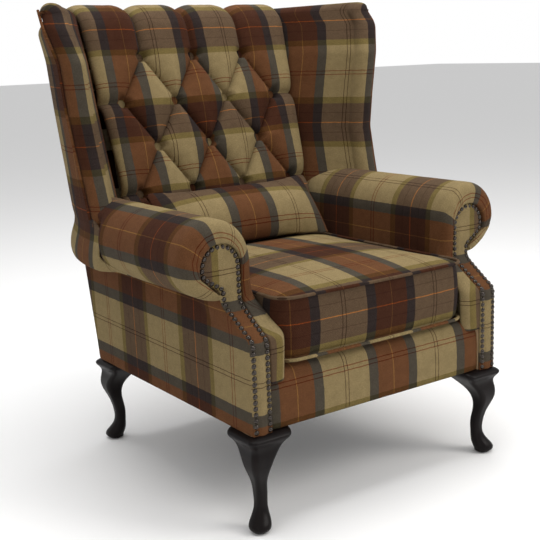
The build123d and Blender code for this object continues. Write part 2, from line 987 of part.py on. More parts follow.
def seat_cushion(pocket):
    low = cushion_foot + seam_low
    high = cushion_foot + seam_high
    under = loft([cushion_outline(16, cushion_foot), cushion_outline(0, low)], ruled=True)
    wall = loft(
        [
            cushion_outline(0, low),
            cushion_outline(-wall_swell, (low + high) / 2),
            cushion_outline(0, high),
        ]
    )
    crown = loft(
        [
            cushion_outline(0, high),
            cushion_outline(30, high + 0.55 * cushion_crown),
            cushion_outline(90, high + 0.9 * cushion_crown),
            cushion_outline(150, high + cushion_crown),
        ]
    )
    return under + wall + crown - pocket


def cushion_piping():
    """A round cord just outside each of the cushion's two seams."""
    cords = []
    for height in (cushion_foot + seam_low, cushion_foot + seam_high):
        path = cushion_outline(-cushion_piping_radius - seat_gap, height).face().outer_wire()
        start = path @ 0
        section = Plane(origin=start, z_dir=path % 0) * Circle(cushion_piping_radius)
        cords.append(sweep(section, path=path))
    return cords


def zip_middle():
    return cushion_foot + (seam_low + seam_high) / 2


def zip_base():
    return cushion_rear() + wall_swell - cushion_draw_in - zip_pocket_depth


def zip_pocket():
    half = zip_tape_height / 2
    return block(
        -zip_half_length,
        zip_half_length,
        zip_base(),
        zip_base() + 40,
        zip_middle() - half,
        zip_middle() + half,
    )


def zip_tape():
    """The closed zip in the cushion's rear border: a cloth tape with its raised coil."""
    half = zip_tape_height / 2
    face = zip_base() + zip_tape_thickness
    low, high = zip_middle() - half, zip_middle() + half
    tape = block(-zip_half_length, zip_half_length, zip_base(), face, low, high)
    coil = block(
        -zip_half_length + 4,
        zip_half_length - 4,
        face,
        face + zip_coil / 2,
        zip_middle() - zip_coil / 2,
        zip_middle() + zip_coil / 2,
    )
    return tape + coil


def zip_slider():
    """The slider astride the coil at one end of the zip, with its hanging pull."""
    face = zip_base() + zip_tape_thickness + running_gap
    x0 = -zip_half_length + 8
    body = block(
        x0,
        x0 + slider_length,
        face,
        face + slider_depth,
        zip_middle() - slider_height / 2,
        zip_middle() + slider_height / 2,
    )
    channel = block(
        x0 - 5,
        x0 + slider_length + 5,
        face - 5,
        face + zip_coil / 2 + running_gap,
        zip_middle() - zip_coil / 2 - running_gap,
        zip_middle() + zip_coil / 2 + running_gap,
    )
    pull = block(
        x0 + 3,
        x0 + slider_length - 3,
        face + slider_depth - 1.2,
        face + slider_depth,
        zip_middle() - zip_tape_height / 2 + 1,
        zip_middle(),
    )
    return body - channel + pull


def lumbar_section(x, half_height, half_thickness):
    edges = [
        ThreePointArc((-half_height, 0), (0, half_thickness), (half_height, 0)),
        ThreePointArc((half_height, 0), (0, -half_thickness), (-half_height, 0)),
    ]
    return Plane(origin=(x, 0, 0), x_dir=(0, 0, 1), z_dir=(-1, 0, 0)) * make_face(edges)


def lumbar_cushion():
    """A small knife-edged cushion, thick in the middle and pinched at its corners."""
    half_shares = [(0.5, 0.92), (0.86, 0.5), (1.0, 0.06)]
    shares = [(-along, swell) for along, swell in reversed(half_shares)] + [(0.0, 1.0)] + half_shares
    sections = []
    for along, swell in shares:
        height = lumbar_half_height - lumbar_draw_in * (1 - along ** 4)
        sections.append(lumbar_section(along * lumbar_half_width, height, swell * lumbar_half_thickness))
    cushion = loft(sections)
    return Pos(0, lumbar_middle_y, lumbar_middle_z) * Rot(-lumbar_lean, 0, 0) * cushion


# --- the whole chair --------------------------------------------------------------------------

def make_parts():
    parts = {}
    places = leg_places()
    one_leg = leg()
    for name, place in places.items():
        parts[name] = place * one_leg
    bolts = [place * leg_bolt() for place in places.values()]
    parts["leg_bolts"] = bolts
    parts["foot_glides"] = [place * glide() for place in places.values()]

    column = facing_column()
    outer_arm = outside_arm()
    post = rear_post(bolts)
    rail = arm_rail()
    frame = wing_frame(post)
    sided = {
        "side_rail": side_rail(bolts),
        "rear_post": post,
        "front_post": front_post(column, outer_arm) - bolts,
        "arm_rail": rail,
        "wing_frame": frame,
        "outside_arm": outer_arm,
        "arm_facing": arm_facing(column),
        "arm_pad": arm_pad(column, rail, outer_arm),
        "wing_pad": wing_pad(frame, post, wing_piping(piping_radius + seat_gap)),
        "outside_wing": outside_wing() - wing_piping(piping_radius + seat_gap),
        "wing_piping": wing_piping(piping_radius),
    }
    for name, shape in sided.items():
        for side, copy in both_sides(shape).items():
            parts[f"{side}_{name}"] = copy
    nails = facing_nails()
    parts["left_facing_nails"] = nails
    parts["right_facing_nails"] = [mirror(nail, about=Plane.YZ) for nail in nails]

    parts["front_rail"] = front_rail() - bolts
    parts["back_rail"] = back_rail() - bolts
    blocks = [corner_block(True), corner_block(False)]
    blocks += [mirror(piece, about=Plane.YZ) for piece in blocks]
    parts["corner_blocks"] = [piece - bolts for piece in blocks]
    parts["top_back_rail"] = back_cross_rail(back_frame_top - back_rail_height)
    parts["lower_back_rail"] = back_cross_rail(deck_top + seat_gap)
    parts["seat_springs"] = seat_springs()
    parts["spring_clips"] = spring_clips()
    parts["seat_deck"] = seat_deck()
    parts["dust_cover"] = dust_cover()
    parts["back_webbing"] = back_webbing()
    parts["front_border"] = front_border()
    parts["inside_back"] = inside_back()
    parts["back_buttons"] = back_buttons()
    parts["outside_back"] = outside_back()
    parts["seat_cushion"] = seat_cushion(zip_pocket())
    parts["cushion_piping"] = cushion_piping()
    parts["cushion_zip"] = zip_tape()
    parts["zip_slider"] = zip_slider()
    parts["lumbar_cushion"] = lumbar_cushion()
    return parts


def as_node(shape):
    """One shape, or a group of separate pieces."""
    if isinstance(shape, list):
        return Compound(children=[piece.solid() for piece in shape])
    return shape


def main():
    nodes = {name: as_node(shape) for name, shape in make_parts().items()}
    boxes = [node.bounding_box() for node in nodes.values()]
    front_most = min(box.min.Y for box in boxes)
    rear_most = max(box.max.Y for box in boxes)
    shift = Pos(0, -(front_most + rear_most) / 2, 0)
    os.makedirs("parts", exist_ok=True)
    for name, node in nodes.items():
        export_step(shift * node, f"parts/{name}.step")


main()
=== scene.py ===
from bisect import bisect_right
from math import atan2, cos, hypot, pi, radians, sin, sqrt

import bmesh
import bpy
from mathutils import Matrix, Vector, noise


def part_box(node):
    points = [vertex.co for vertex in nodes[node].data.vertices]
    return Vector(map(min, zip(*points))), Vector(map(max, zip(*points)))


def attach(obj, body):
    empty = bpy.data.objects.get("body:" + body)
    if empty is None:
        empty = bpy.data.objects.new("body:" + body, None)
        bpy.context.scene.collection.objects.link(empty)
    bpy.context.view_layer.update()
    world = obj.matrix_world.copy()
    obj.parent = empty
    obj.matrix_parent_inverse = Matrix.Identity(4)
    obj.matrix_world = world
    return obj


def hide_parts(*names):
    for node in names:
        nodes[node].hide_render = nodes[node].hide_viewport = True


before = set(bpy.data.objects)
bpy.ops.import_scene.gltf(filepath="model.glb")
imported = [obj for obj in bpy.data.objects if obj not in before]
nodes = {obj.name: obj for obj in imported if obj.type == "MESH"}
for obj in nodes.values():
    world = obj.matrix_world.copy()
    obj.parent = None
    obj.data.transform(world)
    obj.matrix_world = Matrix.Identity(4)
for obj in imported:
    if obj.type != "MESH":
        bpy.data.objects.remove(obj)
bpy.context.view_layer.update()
mm = 0.001
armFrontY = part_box("left_arm_facing")[0].y  # the arm fronts' plane: depths below are measured from it
print("frame loaded:", len(nodes), "nodes")


def at(x, y, z):
    # millimetres from the middle, the arm fronts' plane and the floor
    return Vector((x * mm, y * mm + armFrontY, z * mm))


def between(low, high, share):
    return low + (high - low) * share


def smooth(low, high, value):
    share = min(1.0, max(0.0, (value - low) / (high - low)))
    return share * share * (3 - 2 * share)


def readOff(table, value):
    # straight lines between the rows of a table
    if value <= table[0][0]:
        return table[0][1:]
    for a, b in zip(table, table[1:]):
        if value <= b[0]:
            share = (value - a[0]) / (b[0] - a[0])
            return tuple(between(p, q, share) for p, q in zip(a[1:], b[1:]))
    return table[-1][1:]


# the cloth and the other finishes
cloth = {
    "acrossRepeat": 0.250,  # wide bands: tan, slate, rust, slate
    "alongRepeat": 0.270,  # wide bands: tan, olive, dark, olive
    "wobble": 0.0022,  # how far a band's edge wavers
    "twill": 0.0031,  # from one diagonal of threads to the next
    "ground": (0.218, 0.163, 0.078),
    # how much of the ground colour each band of threads lets through
    "tan": (1.0, 1.0, 1.0),
    "rust": (0.50, 0.285, 0.25),
    "slate": (0.27, 0.30, 0.46),
    "paleLine": (0.92, 0.60, 0.36),
    "fineDark": (0.40, 0.34, 0.34),
    "olive": (0.64, 0.63, 0.46),
    "dark": (0.42, 0.36, 0.44),
    "orangeLine": (1.30, 0.70, 0.42),
    "deep": (0.33, 0.27, 0.33),
    "fineRed": (0.66, 0.34, 0.30),
}


def ramp(tree, bands, source):
    node = tree.nodes.new("ShaderNodeValToRGB")
    node.color_ramp.interpolation = "CONSTANT"
    elements = node.color_ramp.elements
    elements[0].position, elements[0].color = 0.0, (*cloth[bands[0][1]], 1)
    elements.remove(elements[1])
    for start, name in bands[1:]:
        element = elements.new(start)
        element.color = (*cloth[name], 1)
    tree.links.new(source, node.inputs[0])
    return node.outputs[0]


def feed(tree, value, socket):
    # a number or colour is set, and another node's output is linked
    if isinstance(value, (int, float, tuple)):
        socket.default_value = value
    else:
        tree.links.new(value, socket)


def maths(tree, operation, first, second=0.0):
    node = tree.nodes.new("ShaderNodeMath")
    node.operation = operation
    feed(tree, first, node.inputs[0])
    feed(tree, second, node.inputs[1])
    return node.outputs[0]


def noiseOf(tree, vector, scale, detail=2.0, roughness=0.5):
    node = tree.nodes.new("ShaderNodeTexNoise")
    node.inputs["Scale"].default_value = scale
    node.inputs["Detail"].default_value = detail
    node.inputs["Roughness"].default_value = roughness
    tree.links.new(vector, node.inputs["Vector"])
    return node.outputs[0]


def spread(tree, value, low, high):
    node = tree.nodes.new("ShaderNodeMapRange")
    tree.links.new(value, node.inputs["Value"])
    node.inputs["From Min"].default_value = 0.25
    node.inputs["From Max"].default_value = 0.75
    node.inputs["To Min"].default_value = low
    node.inputs["To Max"].default_value = high
    return node.outputs[0]


def scaled(tree, vector, factor):
    node = tree.nodes.new("ShaderNodeVectorMath")
    node.operation = "MULTIPLY"
    tree.links.new(vector, node.inputs[0])
    node.inputs[1].default_value = factor
    return node.outputs[0]


def tinted(tree, color, value):
    node = tree.nodes.new("ShaderNodeMix")
    node.data_type = "RGBA"
    node.blend_type = "MULTIPLY"
    node.inputs[0].default_value = 1.0
    tree.links.new(color, node.inputs[6])
    tree.links.new(value, node.inputs[7])
    return node.outputs[2]


def groupTree(name, ins, outs):
    tree = bpy.data.node_groups.new(name, "ShaderNodeTree")
    for label, kind in ins:
        tree.interface.new_socket(label, in_out="INPUT", socket_type=kind)
    for label, kind in outs:
        tree.interface.new_socket(label, in_out="OUTPUT", socket_type=kind)
    return tree, tree.nodes.new("NodeGroupInput").outputs, tree.nodes.new("NodeGroupOutput").inputs


def buildCheckWeave():
    tree, ins, outs = groupTree(
        "checkWeave",
        [("Cloth", "NodeSocketVector")],
        [("Color", "NodeSocketColor"), ("Height", "NodeSocketFloat")],
    )
    split = tree.nodes.new("ShaderNodeSeparateXYZ")
    tree.links.new(ins["Cloth"], split.inputs[0])
    drift = maths(tree, "SUBTRACT", noiseOf(tree, ins["Cloth"], 90.0), 0.5)
    wobble = maths(tree, "MULTIPLY", drift, cloth["wobble"])
    across = maths(tree, "ADD", split.outputs[0], wobble)
    along = maths(tree, "ADD", split.outputs[1], wobble)
    acrossShare = maths(tree, "FRACT", maths(tree, "DIVIDE", across, cloth["acrossRepeat"]))
    alongShare = maths(tree, "FRACT", maths(tree, "DIVIDE", along, cloth["alongRepeat"]))
    first = ramp(tree, [
        (0.0, "tan"), (0.214, "fineDark"), (0.222, "tan"), (0.248, "fineDark"), (0.256, "tan"),
        (0.472, "slate"), (0.568, "rust"), (0.732, "paleLine"), (0.739, "rust"), (0.904, "slate"),
    ], acrossShare)
    second = ramp(tree, [
        (0.0, "tan"), (0.216, "fineRed"), (0.225, "tan"), (0.252, "fineRed"), (0.261, "tan"),
        (0.507, "olive"), (0.560, "dark"), (0.648, "deep"), (0.656, "dark"), (0.743, "orangeLine"),
        (0.751, "dark"), (0.840, "deep"), (0.848, "dark"), (0.935, "olive"),
    ], alongShare)
    # twill: a fine diagonal of threads
    turns = maths(tree, "MULTIPLY", maths(tree, "ADD", across, along), 2 * pi / cloth["twill"])
    diagonal = maths(tree, "SINE", turns)
    ground = tree.nodes.new("ShaderNodeRGB")
    ground.outputs[0].default_value = (*cloth["ground"], 1)
    woven = tinted(tree, tinted(tree, ground.outputs[0], first), second)
    acrossFibre = noiseOf(tree, scaled(tree, ins["Cloth"], (2600.0, 260.0, 1.0)), 1.0)
    alongFibre = noiseOf(tree, scaled(tree, ins["Cloth"], (260.0, 2600.0, 1.0)), 1.0)
    fibre = maths(tree, "MULTIPLY", maths(tree, "ADD", acrossFibre, alongFibre), 0.5)
    color = tinted(tree, woven, spread(tree, fibre, 0.60, 1.40))
    color = tinted(tree, color, maths(tree, "ADD", maths(tree, "MULTIPLY", diagonal, 0.07), 1.0))
    color = tinted(tree, color, spread(tree, noiseOf(tree, ins["Cloth"], 420.0, 3.0, 0.7), 0.72, 1.28))
    color = tinted(tree, color, spread(tree, noiseOf(tree, ins["Cloth"], 55.0, 4.0, 0.65), 0.88, 1.12))
    tree.links.new(color, outs["Color"])
    rows = maths(tree, "ADD", maths(tree, "MULTIPLY", diagonal, 0.30), maths(tree, "MULTIPLY", fibre, 1.1))
    tree.links.new(rows, outs["Height"])
    return tree


def buildWoodGrain():
    tree, ins, outs = groupTree(
        "woodGrain",
        [("Place", "NodeSocketVector"), ("Early", "NodeSocketColor"), ("Late", "NodeSocketColor")],
        [("Color", "NodeSocketColor"), ("Height", "NodeSocketFloat"), ("Rough", "NodeSocketFloat")],
    )
    stretched = scaled(tree, ins["Place"], (1.0, 1.0, 0.12))
    rings = noiseOf(tree, stretched, 70.0, 5.0, 0.6)
    pores = noiseOf(tree, scaled(tree, ins["Place"], (1.0, 1.0, 0.05)), 600.0, 2.0)
    mix = tree.nodes.new("ShaderNodeMix")
    mix.data_type = "RGBA"
    tree.links.new(spread(tree, rings, 0.0, 1.0), mix.inputs[0])
    tree.links.new(ins["Early"], mix.inputs[6])
    tree.links.new(ins["Late"], mix.inputs[7])
    tree.links.new(tinted(tree, mix.outputs[2], spread(tree, pores, 0.8, 1.1)), outs["Color"])
    tree.links.new(maths(tree, "ADD", pores, rings), outs["Height"])
    tree.links.new(spread(tree, noiseOf(tree, ins["Place"], 22.0, 3.0), 0.30, 0.46), outs["Rough"])
    return tree


def buildPatina():
    tree, ins, outs = groupTree(
        "patina",
        [("Place", "NodeSocketVector"), ("Base", "NodeSocketColor"), ("Worn", "NodeSocketColor")],
        [("Color", "NodeSocketColor"), ("Rough", "NodeSocketFloat")],
    )
    spots = noiseOf(tree, ins["Place"], 260.0, 4.0, 0.7)
    mix = tree.nodes.new("ShaderNodeMix")
    mix.data_type = "RGBA"
    tree.links.new(spread(tree, spots, 0.0, 1.0), mix.inputs[0])
    tree.links.new(ins["Base"], mix.inputs[6])
    tree.links.new(ins["Worn"], mix.inputs[7])
    tree.links.new(mix.outputs[2], outs["Color"])
    tree.links.new(spread(tree, spots, 0.16, 0.36), outs["Rough"])
    return tree


checkWeave = buildCheckWeave()
woodGrain = buildWoodGrain()
patina = buildPatina()


def newMaterial(name, **settings):
    material = bpy.data.materials.new(name)
    material.use_nodes = True
    tree = material.node_tree
    shader = tree.nodes["Principled BSDF"]
    for label, value in settings.items():
        shader.inputs[label.replace("_", " ")].default_value = value
    return material, tree, shader


def addBump(tree, shader, height, distance, strength=1.0):
    bump = tree.nodes.new("ShaderNodeBump")
    bump.inputs["Strength"].default_value = strength
    bump.inputs["Distance"].default_value = distance
    tree.links.new(height, bump.inputs["Height"])
    tree.links.new(bump.outputs[0], shader.inputs["Normal"])


def placeOf(tree):
    return tree.nodes.new("ShaderNodeTexCoord").outputs["Object"]


def colorFrom(tree, shader, kind, **values):
    # places a group with its own values and takes the shader's colour from it
    group = tree.nodes.new("ShaderNodeGroup")
    group.node_tree = kind
    for label, value in values.items():
        feed(tree, value, group.inputs[label])
    tree.links.new(group.outputs["Color"], shader.inputs["Base Color"])
    return group.outputs


def clothMaterial(name, turn=None):
    # the cloth follows the piece's own map, or is laid straight on the object when a turn is given
    material, tree, shader = newMaterial(
        name, Roughness=0.92, Specular_IOR_Level=0.04, Sheen_Weight=0.015, Sheen_Roughness=0.5,
    )
    if turn is None:
        layout = tree.nodes.new("ShaderNodeUVMap")
        layout.uv_map = "cloth"
    else:
        layout = tree.nodes.new("ShaderNodeMapping")
        layout.inputs["Rotation"].default_value = turn
        tree.links.new(placeOf(tree), layout.inputs["Vector"])
    weave = colorFrom(tree, shader, checkWeave, Cloth=layout.outputs[0])
    addBump(tree, shader, weave["Height"], 0.0006, 0.8)
    return material


cord = {
    "topSeam": 0.4553,  # height of the cushion's upper cord
    "shift": 0.2005,
    "dark": 0.245,  # where the cloth is cut for the upper cord, and below for the lower
    "light": 0.03,
    "rust": 0.165,  # where it is cut for the wings' cord
    "wingShift": -0.389,
}


def wingCut(tree, x, y, z):
    # the wing's cord is cut from a rust band and runs up across the others
    return cord["rust"], maths(tree, "ADD", z, cord["wingShift"])


def seamCut(tree, x, y, z):
    # the bands run on across a cord; the cushion's upper cord is cut from a dark band
    apart = maths(tree, "ABSOLUTE", maths(tree, "SUBTRACT", z, cord["topSeam"]))
    upper = maths(tree, "LESS_THAN", apart, 0.006)
    deep = maths(tree, "MULTIPLY", upper, cord["dark"] - cord["light"])
    along = maths(tree, "ADD", maths(tree, "ADD", x, y), cord["shift"])
    return along, maths(tree, "ADD", deep, cord["light"])


def cordMaterial(name, cut):
    material, tree, shader = newMaterial(name, Roughness=0.92, Specular_IOR_Level=0.04)
    split = tree.nodes.new("ShaderNodeSeparateXYZ")
    tree.links.new(placeOf(tree), split.inputs[0])
    place = tree.nodes.new("ShaderNodeCombineXYZ")
    for value, socket in zip(cut(tree, *split.outputs), place.inputs):
        feed(tree, value, socket)
    colorFrom(tree, shader, checkWeave, Cloth=place.outputs[0])
    addBump(tree, shader, noiseOf(tree, placeOf(tree), 900.0, 2.0), 0.0006, 0.6)
    return material


def woodMaterial(name, early, late, coat, rough=None):
    material, tree, shader = newMaterial(
        name, Coat_Weight=coat, Coat_Roughness=0.25, Specular_IOR_Level=0.12,
    )
    colors = {"Early": (*early, 1), "Late": (*late, 1)}
    grain = colorFrom(tree, shader, woodGrain, Place=placeOf(tree), **colors)
    feed(tree, rough or grain["Rough"], shader.inputs["Roughness"])
    addBump(tree, shader, grain["Height"], 0.0002, 0.35)
    return material


def metalMaterial(name, base, worn, metallic=1.0):
    material, tree, shader = newMaterial(name, Metallic=metallic)
    colors = {"Base": (*base, 1), "Worn": (*worn, 1)}
    surface = colorFrom(tree, shader, patina, Place=placeOf(tree), **colors)
    tree.links.new(surface["Rough"], shader.inputs["Roughness"])
    return material


def strapMaterial(name, color, scale):
    # a plain woven lining or strap: crossed threads with a little unevenness
    material, tree, shader = newMaterial(name, Roughness=0.85, Specular_IOR_Level=0.2)
    place = placeOf(tree)
    split = tree.nodes.new("ShaderNodeSeparateXYZ")
    tree.links.new(place, split.inputs[0])
    one = maths(tree, "SINE", maths(tree, "MULTIPLY", split.outputs[0], scale))
    slope = maths(tree, "ADD", split.outputs[1], split.outputs[2])
    two = maths(tree, "SINE", maths(tree, "MULTIPLY", slope, scale))
    weave = maths(tree, "MULTIPLY", one, two)
    base = tree.nodes.new("ShaderNodeRGB")
    base.outputs[0].default_value = (*color, 1)
    fibre = spread(tree, noiseOf(tree, place, 180.0, 3.0), 0.75, 1.2)
    tree.links.new(tinted(tree, base.outputs[0], fibre), shader.inputs["Base Color"])
    addBump(tree, shader, weave, 0.0004, 0.6)
    return material


checkCloth = clothMaterial("checkCloth")
pipingCloth = cordMaterial("pipingCloth", seamCut)
wingCordCloth = cordMaterial("wingCordCloth", wingCut)
buttonCloth = clothMaterial("buttonCloth", (1.57, 0.0, 0.0))
legWood = woodMaterial("legWood", (0.0075, 0.0045, 0.0042), (0.0042, 0.0030, 0.0030), 0.03)
frameWood = woodMaterial("frameWood", (0.60, 0.43, 0.26), (0.47, 0.31, 0.17), 0.0, 0.7)
nailMetal = metalMaterial("nailMetal", (0.022, 0.019, 0.017), (0.10, 0.085, 0.075))
springSteel = metalMaterial("springSteel", (0.24, 0.24, 0.23), (0.42, 0.41, 0.40))
zipMetal = metalMaterial("zipMetal", (0.30, 0.22, 0.10), (0.50, 0.38, 0.19))
blackLining = strapMaterial("blackLining", (0.022, 0.021, 0.021), 5200.0)
juteStrap = strapMaterial("juteStrap", (0.42, 0.33, 0.20), 2600.0)
zipTape = strapMaterial("zipTape", (0.09, 0.055, 0.035), 4200.0)
gliderPlastic = metalMaterial("gliderPlastic", (0.016, 0.015, 0.014), (0.026, 0.025, 0.024), 0.0)

pairedWood = ["side_rail", "rear_post", "front_post", "arm_rail", "wing_frame"]
nodeLooks = {
    legWood: ["front_left_leg", "front_right_leg", "rear_left_leg", "rear_right_leg"],
    gliderPlastic: ["foot_glides"],
    springSteel: ["leg_bolts", "seat_springs", "spring_clips"],
    frameWood: ["front_rail", "back_rail", "corner_blocks", "top_back_rail", "lower_back_rail"]
    + [side + name for side in ("left_", "right_") for name in pairedWood],
    nailMetal: ["left_facing_nails", "right_facing_nails"],
    blackLining: ["seat_deck", "dust_cover"],
    juteStrap: ["back_webbing"],
    zipTape: ["cushion_zip"],
    zipMetal: ["zip_slider"],
    pipingCloth: ["cushion_piping"],
    wingCordCloth: ["left_wing_piping", "right_wing_piping"],
    buttonCloth: ["back_buttons"],
}
for material, names in nodeLooks.items():
    for name in names:
        holder = nodes[name].data.materials
        holder.clear()
        holder.append(material)
print("materials built:", len(bpy.data.materials))


# making cloth pieces
def clothGrid(columns, rows, place, clothAt, facing, cuts=()):
    # a grid of cloth: place gives the point, clothAt the check's place in millimetres
    bm = bmesh.new()
    layer = bm.loops.layers.uv.new("cloth")
    bmesh.ops.create_grid(bm, x_segments=columns, y_segments=rows, size=0.5)
    for spot, normal in cuts:
        parts = bm.verts[:] + bm.edges[:] + bm.faces[:]
        bmesh.ops.bisect_plane(bm, geom=parts, dist=0.0004, plane_co=spot, plane_no=normal)
    spots = {vert: (vert.co.x + 0.5, vert.co.y + 0.5) for vert in bm.verts}
    for face in bm.faces:
        middle = face.calc_center_median()
        for loop in face.loops:
            u, v = clothAt(*spots[loop.vert], middle.x + 0.5, middle.y + 0.5)
            loop[layer].uv = (u * mm, v * mm)
    for vert, spot in spots.items():
        vert.co = place(*spot)
    bm.normal_update()
    total = Vector()
    for face in bm.faces:
        total += face.normal * face.calc_area()
    if total.dot(Vector(facing)) < 0:
        bmesh.ops.reverse_faces(bm, faces=bm.faces)
    return bm


def otherSide(bm):
    bm = bm.copy()
    bmesh.ops.scale(bm, vec=(-1, 1, 1), verts=bm.verts)
    bmesh.ops.reverse_faces(bm, faces=bm.faces)
    return bm


def finishPiece(name, bm, replaced, thickness=0.004, levels=1, body="chair", fill=0.8, slot="check_cloth"):
    mesh = bpy.data.meshes.new(name)
    bmesh.ops.remove_doubles(bm, verts=bm.verts, dist=0.00002)
    bm.to_mesh(mesh)
    bm.free()
    mesh.shade_smooth()
    mesh.materials.append(checkCloth)
    piece = bpy.data.objects.new(name, mesh)
    bpy.context.scene.collection.objects.link(piece)
    if thickness:
        shell = piece.modifiers.new("thickness", "SOLIDIFY")
        shell.thickness = thickness
        shell.offset = -1.0
    if levels:
        finer = piece.modifiers.new("smooth", "SUBSURF")
        finer.levels = finer.render_levels = levels
    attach(piece, body)
    if replaced:
        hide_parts(*replaced)
    return piece


def bothSides(name, bm, replaced, **settings):
    other = otherSide(bm)
    finishPiece("left" + name, bm, ["left_" + node for node in replaced], **settings)
    finishPiece("right" + name, other, ["right_" + node for node in replaced], **settings)


# shapes that several pieces share, in millimetres
base = {"frontHalf": 328.0, "rearHalf": 316.0, "depth": 684.0, "rake": 0.208, "foot": 203.0, "hem": 202.2}
armStep = [  # height and depth of the stepped arm front
    (374.0, 0.0), (382.0, 1.2), (388.0, 3.0), (392.6, 7.5), (397.0, 16.0), (436.0, 73.0),
    (440.9, 79.5), (446.0, 84.0), (453.0, 86.4), (462.0, 87.0),
]
wingEdge = [  # height, reach and set-back of the wing's piped edge
    (574.0, 401.0, 470.0), (633.0, 403.0, 486.0), (716.0, 407.0, 507.0), (801.0, 418.0, 509.0),
    (902.0, 429.0, 505.0), (971.0, 446.0, 526.0), (1010.0, 441.0, 556.0), (1026.0, 424.0, 592.0),
]


def rearAt(z):
    return base["depth"] + base["rake"] * (z - base["foot"])


def sideAt(y):
    return base["frontHalf"] - (base["frontHalf"] - base["rearHalf"]) * y / base["depth"]


def stepAt(z):
    return readOff(armStep, z)[0]


def wingInner(z, y):
    # how far out the outside wing's inner face stands
    reach, setBack = readOff(wingEdge, z)
    front, rear = setBack + 8, rearAt(z) - 12
    return reach - 7 + (base["rearHalf"] - reach) * (y - front) / (rear - front)


# the nailed arm fronts
facing = {
    "inner": 283.8, "headX": 330.5, "headZ": 519.0, "head": 46.5, "neckX": 333.0, "neckZ": 473.5,
    "puff": 2.6, "columns": 16, "rows": 70, "clothUp": -42.0, "clothAcross": -198.0,
}


def facingEdges(z):
    head = facing["head"]
    up = max(-head, min(head, z - facing["headZ"]))
    half = sqrt(max(0.0, head * head - up * up))
    turnX, turnZ = facing["headX"] + head * cos(radians(25)), facing["headZ"] - head * sin(radians(25))
    inner = facing["inner"] if up < 0 else facing["headX"] - half
    if z <= 388:
        outer = base["frontHalf"]
    elif z <= facing["neckZ"]:
        outer = between(base["frontHalf"], facing["neckX"], (z - 388) / (facing["neckZ"] - 388))
    elif z <= turnZ:
        outer = between(facing["neckX"], turnX, (z - facing["neckZ"]) / (turnZ - facing["neckZ"]))
    else:
        outer = facing["headX"] + half
    return inner, outer


facingHeights = []
for i in range(facing["rows"] + 1):
    share = i / facing["rows"]
    straight = between(base["hem"], facing["headZ"], min(1.0, share / 0.8))
    if share > 0.8:
        straight = facing["headZ"] + (facing["head"] - 0.05) * sin((share - 0.8) / 0.2 * pi / 2)
    facingHeights.append(straight)
facingRun = [0.0]
for low, high in zip(facingHeights, facingHeights[1:]):
    facingRun.append(facingRun[-1] + hypot(high - low, stepAt(high) - stepAt(low)))


def facingPlace(s, t):
    z = facingHeights[round(t * facing["rows"])]
    inner, outer = facingEdges(z)
    x = between(inner, outer, s)
    edge = min(x - inner, outer - x)
    puff = facing["puff"] * smooth(10.0, 19.0, edge)
    return at(x, stepAt(z) - puff, z - puff * 0.3)


def facingCloth(s, t, sMiddle, tMiddle):
    row = round(t * facing["rows"])
    inner, outer = facingEdges(facingHeights[row])
    return facingRun[row] + facing["clothUp"], between(inner, outer, s) + facing["clothAcross"]


facingGrid = clothGrid(facing["columns"], facing["rows"], facingPlace, facingCloth, (0, -1, 0))
bothSides("ArmFacing", facingGrid, ["arm_facing"], thickness=0.007)
print("arm facings")


# arm rolls and inside arms
roll = {
    "x": 338.0, "z": 533.0, "radius": 78.0, "front": 79.0, "round": 26.0, "end": radians(187),
    "wall": 262.0, "foot": 299.0, "rear": 700.0, "shoulder": 21.0, "endStart": 428.0, "endRound": 19.0,
    "gather": 1.1, "columns": 110, "clothAcross": 102.0, "clothAlong": 3.0,
}
rollEnd = roll["end"] * roll["radius"]
rollIn = -pi / 2 * roll["radius"]
wallRun = roll["z"] - roll["foot"]
frontRows, bodyRows = 14, 40


def rollSection(distance):
    # the arm's cross-section by distance from the top of the roll, outwards positive
    if distance >= rollIn:
        angle = distance / roll["radius"]
        return roll["x"] + roll["radius"] * sin(angle), roll["z"] + roll["radius"] * cos(angle), angle
    down = rollIn - distance
    x = roll["x"] - roll["radius"] + (roll["wall"] - roll["x"] + roll["radius"]) * down / wallRun
    x -= 4.0 * sin(pi * min(1.0, down / wallRun))
    return x, roll["z"] - down, -pi / 2


def shoulderAt(z, y):
    # the wall's front end is fuller, where it stands before the cushion's round corner
    return roll["shoulder"] * (1 - smooth(395, 500, z)) * (1 - smooth(12, 52, y))


def facingRim(distance, x, z, angle):
    # the point on the facing's rim that the cloth is pulled to
    if distance < rollIn:
        return facing["inner"], min(z, facing["headZ"])
    around = min(angle, radians(112))
    rimX = facing["headX"] + facing["head"] * sin(around)
    rimZ = facing["headZ"] + facing["head"] * cos(around)
    share = smooth(112, 187, angle * 180 / pi)  # past this the rim runs in to the neck
    return between(rimX, facing["neckX"], share), between(rimZ, facing["neckZ"] - 8, share)


def armFrontAt(z):
    # depth of the padded front round the facing
    if z >= roll["z"]:
        return roll["front"]
    if z >= 452:
        return between(roll["front"], 84.0, (roll["z"] - z) / (roll["z"] - 452))
    return stepAt(z) - 2.0 + smooth(452, 430, z) * 3.0 - 1.5


def frontProfile(gap):
    # (share towards the rim, depth) from the tuck behind the facing out to the roll's surface
    turn = min(roll["round"], gap * 0.8)
    points = [(1.0, 14.0), (1.0, 5.0), (1.0 - 1.5 / gap, 1.2), (1.0 - 4.0 / gap, 0.0)]
    flatEnd = turn / gap
    for i in range(1, 4):
        points.append((between(1.0 - 4.0 / gap, flatEnd, i / 3), 0.0))
    for i in range(1, 8):
        angle = i / 7 * pi / 2
        points.append(((turn - turn * sin(angle)) / gap, turn - turn * cos(angle)))
    return points, turn


